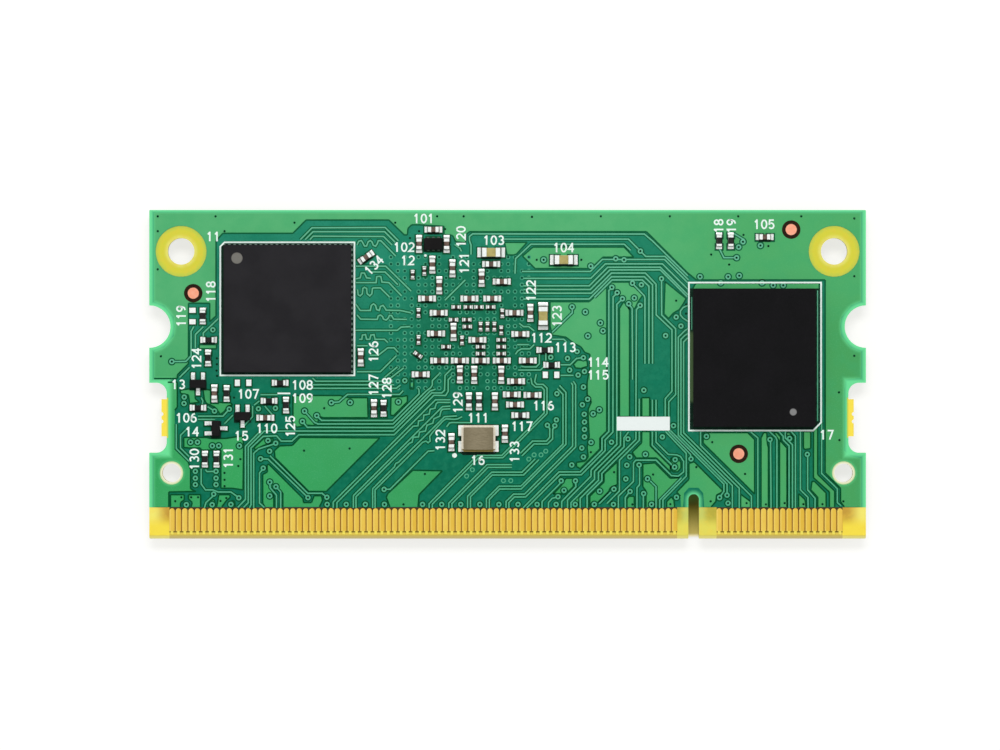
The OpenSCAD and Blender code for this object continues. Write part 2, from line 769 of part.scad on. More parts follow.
// A gull-wing lead that leaves the mould towards +Y, drops to the land and ends in a foot
module transistor_lead() {
    start = transistor_w / 2;
    knee = start + lead_reach;
    tip = lead_span / 2;
    bend = lead_t / 2;
    shoulder = lead_z + lead_t / 2;
    rotate([90, 0, 90])
        linear_extrude(lead_w, center = true)
            polygon([
                [start, shoulder], [knee + lead_t - bend, shoulder],
                [knee + lead_t, shoulder - bend], [knee + lead_t, land_t + lead_t],
                [tip, land_t + lead_t], [tip, land_t], [knee + bend, land_t],
                [knee, land_t + bend], [knee, shoulder - lead_t], [start, shoulder - lead_t]]);
}

module transistor_moulds()
    color("dimgray") on_upper() at(transistor_places) transistor_mould();

module transistor_leads()
    color("silver") on_upper() at(transistor_places) {
        for (s = [-1, 1]) translate([s * lead_pitch / 2, 0, 0]) transistor_lead();
        rotate(180) transistor_lead();
    }

// Chip parts

// The body of a chip part, inside the metal of its end caps
module chip_body(kind)
    block(kind[0] - 2 * end_t, kind[1] - 2 * end_t, kind[2] - 2 * end_t, land_t + end_t);

// The two end caps of a chip part, each wrapped over five faces of its body
module chip_ends(kind)
    difference() {
        for (s = [-1, 1])
            translate([s * (kind[0] - kind[3]) / 2, 0, 0]) block(kind[3], kind[1], kind[2], land_t);
        chip_body(kind);
    }

// Outline of a hollow solder fillet that runs out along X and climbs along Y
function fillet_outline(run, rise) = concat(
    [[0, 0]],
    [for (i = [0:fillet_steps]) let (a = 90 * i / fillet_steps)
        [run * (1 - sin(a)), rise * (1 - cos(a))]]);

// The solder between a chip part's end caps and its lands
module chip_fillets(kind)
    for (turn = [0, 180])
        rotate(turn)
            translate([kind[0] / 2, 0, land_t])
                rotate([90, 0, 0])
                    linear_extrude(kind[1] + 2 * fillet_side, center = true)
                        polygon(fillet_outline(kind[4], kind[2] * fillet_climb));

module small_capacitor_bodies() {
    color("rosybrown") on_upper() at(small_capacitor_places) chip_body(SMALL);
    color("rosybrown") on_lower() at(lower_capacitor_places) chip_body(SMALL);
}

module small_capacitor_ends() {
    color("gainsboro") on_upper() at(small_capacitor_places) chip_ends(SMALL);
    color("gainsboro") on_lower() at(lower_capacitor_places) chip_ends(SMALL);
}

module tiny_capacitor_bodies()
    color("rosybrown") on_upper() at(tiny_capacitor_places) chip_body(TINY);

module tiny_capacitor_ends()
    color("gainsboro") on_upper() at(tiny_capacitor_places) chip_ends(TINY);

module bulk_capacitor_bodies() {
    color("darkkhaki") on_upper() at(bulk_capacitor_places) chip_body(BULK);
    color("darkkhaki") on_lower() at(lower_bulk_places) chip_body(BULK);
}

module bulk_capacitor_ends() {
    color("gainsboro") on_upper() at(bulk_capacitor_places) chip_ends(BULK);
    color("gainsboro") on_lower() at(lower_bulk_places) chip_ends(BULK);
}

module bead_bodies() color("dimgray") on_upper() at(bead_places) chip_body(SMALL);

module bead_ends() color("gainsboro") on_upper() at(bead_places) chip_ends(SMALL);

module resistor_bodies() {
    color("white") on_upper() at(resistor_places) chip_body(RESISTOR);
    color("white") on_lower() at(lower_resistor_places) chip_body(RESISTOR);
}

// The dark coat over a resistor's film, on top of its body between the end caps
module resistor_coat()
    block(small_l - 2 * resistor_end, small_w - 2 * end_t, coat_t, land_t + resistor_h - end_t);

module resistor_coats() {
    color("black") on_upper() at(resistor_places) resistor_coat();
    color("black") on_lower() at(lower_resistor_places) resistor_coat();
}

module resistor_ends() {
    color("gainsboro") on_upper() at(resistor_places) chip_ends(RESISTOR);
    color("gainsboro") on_lower() at(lower_resistor_places) chip_ends(RESISTOR);
}

module upper_solder_fillets()
    color("gainsboro") on_upper() {
        at(small_capacitor_places) chip_fillets(SMALL);
        at(bead_places) chip_fillets(SMALL);
        at(resistor_places) chip_fillets(RESISTOR);
        at(tiny_capacitor_places) chip_fillets(TINY);
        at(bulk_capacitor_places) chip_fillets(BULK);
    }

module lower_solder_fillets()
    color("gainsboro") on_lower() {
        at(lower_capacitor_places) chip_fillets(SMALL);
        at(lower_resistor_places) chip_fillets(RESISTOR);
        at(lower_bulk_places) chip_fillets(BULK);
    }

// Power parts

// The two plates of an inductor, each folded from its underside up its end
module inductor_plates()
    color("gainsboro") on_lower() at(inductor_places)
        for (turn = [0, 180])
            rotate(turn)
                translate([inductor_w / 2, 0, land_t])
                    rotate([90, 0, 0])
                        linear_extrude(plate_w, center = true)
                            polygon([
                                [0, 0], [0, inductor_plate_h],
                                [-inductor_plate_t, inductor_plate_h],
                                [-inductor_plate_t, inductor_plate_t],
                                [-inductor_end, inductor_plate_t], [-inductor_end, 0]]);

module inductor_cores()
    color("gray") on_lower() at(inductor_places)
        difference() {
            translate([0, 0, land_t + inductor_plate_t])
                linear_extrude(inductor_h - inductor_plate_t)
                    rounded_square(inductor_w, inductor_w, inductor_r);
            for (s = [-1, 1])
                translate([s * inductor_w / 2, 0, 0])
                    block(2 * inductor_plate_t, plate_w, inductor_plate_h, land_t);
        }

module converter_moulds()
    color("dimgray") on_lower() at(converter_places)
        block(converter_w, converter_w, converter_h, land_t);

board();
upper_solder_mask();
lower_solder_mask();
upper_contacts();
lower_contacts();
fiducial_marks();
upper_lands();
lower_lands();
memory_balls();
memory_substrate();
memory_mould();
flash_balls();
flash_substrate();
flash_mould();
processor_balls();
processor_substrate();
processor_die();
processor_paste();
processor_lid();
crystal_base();
crystal_lid();
load_switch();
transistor_moulds();
transistor_leads();
small_capacitor_bodies();
small_capacitor_ends();
tiny_capacitor_bodies();
tiny_capacitor_ends();
bulk_capacitor_bodies();
bulk_capacitor_ends();
bead_bodies();
bead_ends();
resistor_bodies();
resistor_coats();
resistor_ends();
inductor_cores();
inductor_plates();
converter_moulds();
upper_solder_fillets();
lower_solder_fillets();
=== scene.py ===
import math

import bpy
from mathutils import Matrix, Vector


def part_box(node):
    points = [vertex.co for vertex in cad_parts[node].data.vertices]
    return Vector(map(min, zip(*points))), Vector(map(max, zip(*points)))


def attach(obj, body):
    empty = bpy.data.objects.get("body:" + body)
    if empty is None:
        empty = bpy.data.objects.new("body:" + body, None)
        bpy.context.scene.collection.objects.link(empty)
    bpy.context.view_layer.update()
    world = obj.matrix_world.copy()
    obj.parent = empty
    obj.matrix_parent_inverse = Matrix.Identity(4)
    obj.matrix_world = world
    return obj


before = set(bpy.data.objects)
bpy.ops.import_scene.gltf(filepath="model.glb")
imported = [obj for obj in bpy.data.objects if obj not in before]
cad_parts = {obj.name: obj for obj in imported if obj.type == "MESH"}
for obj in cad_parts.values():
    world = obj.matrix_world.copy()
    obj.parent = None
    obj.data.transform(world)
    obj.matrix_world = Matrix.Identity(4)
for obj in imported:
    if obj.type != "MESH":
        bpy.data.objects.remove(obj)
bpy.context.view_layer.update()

# Laminate: a yellow glass-epoxy sheet, routed to its outline, drilled, and bevelled at the contact edge.
# Painted glow: bare rings, corners, the slot's sides and the bevel are painted brighter yellow where
# light gets in. Painted shade: the laminate is near black under the mask and darker by the mask edge.
MM = 0.001
HALF_W, HALF_H = 33.8, 15.5
SCREW = (30.8, 11.6)
SCREW_RING = 4.8
LOCATING = (31.7, -9.3)
LOCATING_RING = 2.2
KEY_X, KEY_TOP, KEY_W = 17.55, -11.3, 1.0
LATCH_Y, LATCH_R = 4.5, 2.0
RECESS_Y, RECESS_HALF, RECESS_D = -4.1, 3.3, 1.65
MASK_EDGE = -12.5
TOP_NARROW, SLOT_FAINT, HOLE_FAINT = 1.7, 0.2, 0.4


def srgb(*levels):
    """A colour given by its screen levels, 0 to 255, as the shader's linear values."""
    parts = [v / 255 for v in levels]
    return (*[p / 12.92 if p <= 0.04045 else ((p + 0.055) / 1.055) ** 2.4 for p in parts], 1.0)


class Socket:
    """A node's output, so that shader maths reads as Python and one method adds any other node."""

    def __init__(self, tree, out):
        self.tree, self.out = tree, out

    def node(self, kind, settings=None, inputs=None, output=0):
        made = self.tree.nodes.new(kind)
        for name, value in (settings or {}).items():
            setattr(made, name, value)
        for name, value in (inputs or {}).items():
            if isinstance(value, Socket):
                self.tree.links.new(value.out, made.inputs[name])
            else:
                made.inputs[name].default_value = value
        return Socket(self.tree, made.outputs[output])

    def maths(self, operation, a, b=0.0):
        return self.node("ShaderNodeMath", {"operation": operation}, {0: a, 1: b})

    def __add__(self, other):
        return self.maths("ADD", self, other)

    def __radd__(self, other):
        return self.maths("ADD", other, self)

    def __sub__(self, other):
        return self.maths("SUBTRACT", self, other)

    def __rsub__(self, other):
        return self.maths("SUBTRACT", other, self)

    def __mul__(self, other):
        return self.maths("MULTIPLY", self, other)

    def __truediv__(self, other):
        return self.maths("DIVIDE", self, other)

    def __abs__(self):
        return self.maths("ABSOLUTE", self)

    def least(self, other):
        return self.maths("MINIMUM", self, other)

    def most(self, other):
        return self.maths("MAXIMUM", self, other)

    def reach(self, other):
        """The length of the hypotenuse over this value and another."""
        return self.maths("SQRT", self * self + other * other)

    def rise(self, start, end):
        """Goes smoothly from 0 at start to 1 at end, where end may be the smaller."""
        return self.node(
            "ShaderNodeMapRange",
            {"interpolation_type": "SMOOTHSTEP"},
            {0: self, 1: start, 2: end, 3: 0.0, 4: 1.0})

    def blend(self, zero, one):
        """The colour zero where this value is 0, and one where it is 1."""
        return self.node(
            "ShaderNodeMix", {"data_type": "RGBA"}, {0: self, 6: zero, 7: one}, output=2)


class Place:
    """Where a point of a piece lies, in millimetres in the board's frame, for its paint."""

    def __init__(self, tree):
        start = Socket(tree, None)
        metres = start.node("ShaderNodeTexCoord", output=3)
        self.spot = metres.node(
            "ShaderNodeVectorMath", {"operation": "SCALE"}, {0: metres, "Scale": 1 / MM})
        self.x, self.y, self.z = (
            self.spot.node("ShaderNodeSeparateXYZ", inputs={0: self.spot}, output=i) for i in range(3))
        self.start = start

    def noise(self, scale, detail=2.0, stretch=None):
        spot = self.spot
        if stretch:
            spot = spot.node("ShaderNodeVectorMath", {"operation": "MULTIPLY"}, {0: spot, 1: stretch})
        return spot.node("ShaderNodeTexNoise", inputs={"Vector": spot, "Scale": scale, "Detail": detail})

    def cell(self, value):
        """A random value from 0 to 1 for each whole number that the value passes."""
        return value.node(
            "ShaderNodeTexWhiteNoise", {"noise_dimensions": "1D"}, {"W": value.maths("FLOOR", value)})

    def upright(self):
        """1 on faces that look up or down, 0 on walls."""
        normal = self.start.node("ShaderNodeNewGeometry", output=1)
        return abs(normal.node("ShaderNodeSeparateXYZ", inputs={0: normal}, output=2)).rise(0.4, 0.7)

    def away(self, x, y):
        """The distance in plan from a place."""
        return (self.x - x).reach(self.y - y)

    def rim(self):
        """How far the point lies in from the board's nearest cut edge, more where the edge glows less."""
        across = abs(self.x)
        side = HALF_W - across
        top = (HALF_H - self.y) * TOP_NARROW
        latch = (across - HALF_W).reach(self.y - LATCH_Y) - LATCH_R
        recess = (HALF_W - RECESS_D - across).most(abs(self.y - RECESS_Y) - RECESS_HALF)
        slot_end = (self.y - (KEY_TOP - KEY_W / 2)).most(0.0)
        slot = (self.x - KEY_X).reach(slot_end) - KEY_W / 2
        hole = (across - LOCATING[0]).reach(self.y - LOCATING[1]) - LOCATING_RING / 2
        outer = side.least(top).least(latch).least(recess)
        return outer.least(slot + SLOT_FAINT).least(hole + HOLE_FAINT)


def finish(name, paint, roughness, uneven, metallic=0.0, specular=0.5, grain=None):
    """A material whose colour is paint(place). Uneven is how far its roughness wanders, and grain is
    the scale per millimetre and the depth in millimetres of its bumps."""
    material = bpy.data.materials.new(name)
    material.use_nodes = True
    tree = material.node_tree
    tree.nodes.clear()
    place = Place(tree)
    inputs = {
        "Base Color": paint(place),
        "Roughness": roughness + (place.noise(3.0) - 0.5) * (2 * uneven),
        "Metallic": metallic,
        "Specular IOR Level": specular}
    if grain:
        scale, depth = grain
        inputs["Normal"] = place.start.node("ShaderNodeBump", inputs={
            "Strength": 1.0, "Distance": depth * MM, "Height": place.noise(scale, 3.0)})
    shader = place.start.node("ShaderNodeBsdfPrincipled", inputs=inputs)
    output = tree.nodes.new("ShaderNodeOutputMaterial")
    tree.links.new(shader.out, output.inputs["Surface"])
    return material


def dress(node, material, round_edges=0.0):
    """Gives a CAD node its finish and, where asked, rounds its edges by that many millimetres."""
    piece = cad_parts[node]
    piece.data.materials.clear()
    piece.data.materials.append(material)
    if round_edges:
        weld = piece.modifiers.new("weld", "WELD")
        weld.merge_threshold = 1e-6
        bevel = piece.modifiers.new("rounding", "BEVEL")
        bevel.width = round_edges * MM
        bevel.segments = 2
        bevel.limit_method = "ANGLE"
        bevel.angle_limit = math.radians(40)
        bevel.use_clamp_overlap = True


def laminate_paint(at):
    weave = at.noise(2.2, 3.0)
    across = abs(at.x)
    # Painted shade: the contact strip darkens towards the mask edge, with a darker band between the
    # tails.
    strip = at.y.rise(-13.3, -12.75).blend(srgb(150, 98, 24), srgb(72, 44, 14))
    strip = at.y.rise(-14.68, -14.74).blend(strip, srgb(122, 100, 22))
    strip = at.y.rise(-14.88, -14.96).blend(strip, srgb(226, 200, 78))
    bare = at.x.rise(-31.86, -31.94).most(at.x.rise(31.56, 31.64))
    bare = bare.most(at.x.rise(15.96, 16.02) * at.x.rise(19.74, 19.68))
    from_slot = abs(at.x - KEY_X)
    by_slot = from_slot.rise(2.4, 2.2)
    # Painted glow: brighter yellow towards the board's ends, the slot and the bottom edge, paler on the
    # bevel.
    upper = (HALF_W - across).rise(0.3, 1.8).blend(srgb(250, 238, 112), srgb(202, 158, 54))
    upper = by_slot.blend(upper, from_slot.rise(0.7, 1.5).blend(srgb(204, 210, 100), srgb(188, 176, 58)))
    lower = by_slot.blend(srgb(252, 228, 68), srgb(232, 222, 88))
    ends = at.y.rise(-14.5, -13.2).blend(lower, upper)
    ends = (weave.rise(0.4, 0.75) * 0.25).blend(ends, srgb(250, 214, 66))
    strip = bare.blend(strip, ends)
    strip = at.y.rise(-15.1, -15.4).blend(strip, bare.blend(srgb(214, 196, 126), srgb(244, 234, 140)))
    from_screw = (across - SCREW[0]).reach(at.y - SCREW[1])
    from_locating = (across - LOCATING[0]).reach(at.y - LOCATING[1])
    # Painted glow: each bare ring is brighter towards its hole, and the recess towards the board's side.
    ring = from_screw.rise(2.4, 1.9).blend(srgb(190, 206, 72), srgb(216, 212, 52))
    ring = from_screw.rise(1.7, 1.25).blend(ring, srgb(234, 228, 112))
    ring = (weave.rise(0.4, 0.7) * 0.5).blend(ring, srgb(224, 206, 58))
    ring = from_locating.rise(1.3, 1.15).blend(ring, from_locating.rise(1.1, 0.9).blend(
        srgb(206, 224, 160), srgb(246, 244, 214)))
    recess = abs(at.y - RECESS_Y).rise(3.6, 3.4) * across.rise(31.6, 31.7)
    ring = recess.blend(ring, across.rise(31.95, 32.25).blend(srgb(170, 210, 84), srgb(255, 230, 74)))
    # Painted shade: under the mask the laminate is near black, as it shows in the openings round the
    # lands.
    covered = from_screw.rise(2.42, 2.5) * from_locating.rise(1.12, 1.16) * (1.0 - recess)
    inner = at.y.rise(MASK_EDGE - 0.05, MASK_EDGE)
    face = inner.blend(strip, ring)
    face = (inner * covered).blend(face, srgb(14, 36, 24))
    plies = at.z.maths("SINE", at.z * 42.0).rise(0.2, 0.9)
    wall = (plies * 0.6).blend(srgb(222, 206, 110), srgb(150, 120, 50))
    wall = weave.rise(0.4, 0.75).blend(wall, srgb(232, 222, 140))
    return at.upright().blend(wall, face)


dress("board", finish(
    "glass_epoxy", laminate_paint, roughness=0.42, uneven=0.08, specular=0.3, grain=(5.0, 0.006)))

# Solder mask: a green lacquer printed over both faces and cured, open over the lands and hole rings.
# Where there is no copper under it, it shows a deep teal, and it is painted a bright green glow along
# the cut edges.
mask_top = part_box("upper_solder_mask")[1].z
mask_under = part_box("lower_solder_mask")[0].z
EDGE_GLOW_GREEN = srgb(116, 236, 160)


# Painted glow: the colour turns bright green near the board's cut edges and holes.
def lit_rim(at, colour):
    return (at.rim().rise(0.7, 0.05) * 0.92).blend(colour, EDGE_GLOW_GREEN)


def mask_paint(at):
    base = at.y.rise(-6.0, 11.0).blend(srgb(6, 108, 80), srgb(40, 142, 112))
    base = (at.x.rise(7.0, 14.0) * 0.6).blend(base, srgb(26, 122, 90))
    base = (at.noise(0.45, 3.0).rise(0.3, 0.7) * 0.5).blend(base, srgb(10, 122, 92))
    base = (at.away(-2.5, 4.0).rise(9.0, 5.0) * 0.6).blend(base, srgb(16, 106, 72))
    base = (at.noise(1.6, 4.0).rise(0.4, 0.7) * 0.35).blend(base, srgb(38, 138, 104))
    base = (at.noise(6.0).rise(0.45, 0.8) * 0.3).blend(base, srgb(8, 96, 68))
    return lit_rim(at, base)


teal_mask = finish(
    "mask_over_laminate", mask_paint, roughness=0.34, uneven=0.06, specular=0.06, grain=(4.0, 0.004))
dress("upper_solder_mask", teal_mask)
dress("lower_solder_mask", teal_mask)

# Copper areas: ground and supply copper etched on the face, which shows light green through the mask.
# Each area ends in a narrow etched gap that shows as a dark line; a clearing is a teal window in it.
SUNK = 0.003
AREA_RISE, CLEARING_RISE, LAND_GAP_RISE = 0.005, 0.007, 0.0083
GAP_RISE, OPENING_RISE = 0.0097, 0.0115
TRACK_RISE, RING_RISE, HOLE_RISE, INK_RISE = 0.0135, 0.0165, 0.020, 0.024
TOP_LEVELS, TOP_STEP = 6, 0.016
GAP_W = 0.15


def shifted(path, by):
    """The path moved sideways to its left by that much, with its corners mitred."""
    moved = []
    for i, (x, y) in enumerate(path):
        normals = []
        for a, b in ((i - 1, i), (i, i + 1)):
            if a >= 0 and b < len(path):
                dx, dy = path[b][0] - path[a][0], path[b][1] - path[a][1]
                length = math.hypot(dx, dy)
                if length > 1e-9:
                    normals.append((-dy / length, dx / length))
        nx, ny = sum(n[0] for n in normals), sum(n[1] for n in normals)
        scale = by * len(normals) / max(nx * nx + ny * ny, 0.4) if normals else 0
        moved.append((x + nx * scale, y + ny * scale))
    return moved


def arc(x, y, rx, ry, start, end, steps=14):
    angles = [math.radians(start + (end - start) * i / steps) for i in range(steps + 1)]
    return [(x + rx * math.cos(a), y + ry * math.sin(a)) for a in angles]


class Relief:
    """Flat shapes in millimetres that stand on one face of the board as a single closed mesh. Their
    tops differ in height by a hair, so that no two faces lie in one plane."""

    def __init__(self):
        self.points, self.faces, self.count = [], [], 0

    def levels(self):
        self.count += 1
        return 0.0, 1.0 + TOP_STEP * (self.count % TOP_LEVELS)

    def prism(self, outline):
        turned = sum(
            a[0] * b[1] - b[0] * a[1] for a, b in zip(outline, outline[1:] + outline[:1])) < 0
        outline = outline[::-1] if turned else outline
        count, first = len(outline), len(self.points)
        self.points += [(x, y, z) for z in self.levels() for x, y in outline]
        low = list(range(first, first + count))
        high = [i + count for i in low]
        self.faces += [high, low[::-1]]
        for i in range(count):
            j = (i + 1) % count
            self.faces.append([low[i], low[j], high[j], high[i]])

    def ribbon(self, path, width):
        count, first = len(path), len(self.points)
        left, right = shifted(path, width / 2), shifted(path, -width / 2)
        self.points += [(x, y, z) for z in self.levels() for x, y in left + right]
        l0, r0, l1, r1 = (first + count * i for i in range(4))
        for i in range(count - 1):
            self.faces += [
                [r1 + i, r1 + i + 1, l1 + i + 1, l1 + i], [l0 + i, l0 + i + 1, r0 + i + 1, r0 + i],
                [l1 + i, l1 + i + 1, l0 + i + 1, l0 + i], [r0 + i, r0 + i + 1, r1 + i + 1, r1 + i]]
        end = count - 1
        self.faces += [[l0, r0, r1, l1], [r0 + end, l0 + end, l1 + end, r1 + end]]

    def disc(self, x, y, d, sides=14):
        self.prism(arc(x, y, d / 2, d / 2, 0, 360 - 360 / sides, sides - 1))

    def ring(self, x, y, outer_d, inner_d, sides=40):
        first, levels = len(self.points), self.levels()
        for d in (outer_d, inner_d):
            circle = arc(x, y, d / 2, d / 2, 0, 360 - 360 / sides, sides - 1)
            self.points += [(px, py, z) for z in levels for px, py in circle]
        o0, o1, i0, i1 = (first + sides * k for k in range(4))
        for a in range(sides):
            b = (a + 1) % sides
            self.faces += [
                [o1 + a, o1 + b, i1 + b, i1 + a], [i0 + a, i0 + b, o0 + b, o0 + a],
                [o0 + a, o0 + b, o1 + b, o1 + a], [i1 + a, i1 + b, i0 + b, i0 + a]]

    def piece(self, name, base, top, material, slot):
        faces = self.faces if top > base else [f[::-1] for f in self.faces]
        mesh = bpy.data.meshes.new(name)
        mesh.from_pydata(
            [(x * MM, y * MM, base + z * (top - base)) for x, y, z in self.points], [], faces)
        mesh.update()
        made = bpy.data.objects.new(name, mesh)
        bpy.context.scene.collection.objects.link(made)
        made.data.materials.append(material)
        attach(made, "root")

    def on_upper(self, name, rise, material, slot="solder_mask"):
        self.piece(name, mask_top - SUNK * MM, mask_top + rise * MM, material, slot)

    def on_lower(self, name, rise, material, slot="solder_mask"):
        self.piece(name, mask_under + SUNK * MM, mask_under - rise * MM, material, slot)


def around(x, y, r, start):
    """The way round a hole, met at the angle start, for an outline that leaves the hole out."""
    return arc(x, y, r, r, start, start + 360, 40)


RING_R = SCREW_RING / 2 + 0.02
HOLE_R = LOCATING_RING / 2 + 0.03
right_rim = [
    (-33.35, 15.25), (33.35, 15.25), (33.35, 11.6), *around(*SCREW, RING_R, 0), (33.35, 11.59),
    (33.35, 6.9), (32.4, 6.5), (31.5, 5.4), (31.35, 4.5), (31.5, 3.6), (32.4, 2.5), (33.35, 2.15),
    (33.35, -0.35), (31.9, -0.5), (31.75, -1.5), (31.75, -7.2), (32.3, -7.7), (33.35, -7.9),
    (33.35, -9.3), *around(*LOCATING, HOLE_R, 0), (33.35, -9.31), (33.35, -12.3), (31.75, -12.3)]
left_rim = [
    (-33.35, -0.4), (-33.35, 2.2), (-32.4, 2.55), (-31.5, 3.6), (-31.4, 4.5), (-31.5, 5.4),
    (-32.4, 6.5), (-33.35, 6.85), (-33.35, 11.59), *around(-SCREW[0], SCREW[1], RING_R, 180),
    (-33.35, 11.6)]
left_recess = [
    (-33.35, -9.31), *around(-LOCATING[0], LOCATING[1], HOLE_R, 180), (-33.35, -9.3),
    (-33.35, -7.8), (-32.3, -7.6), (-31.95, -7.2), (-31.95, -1.2)]
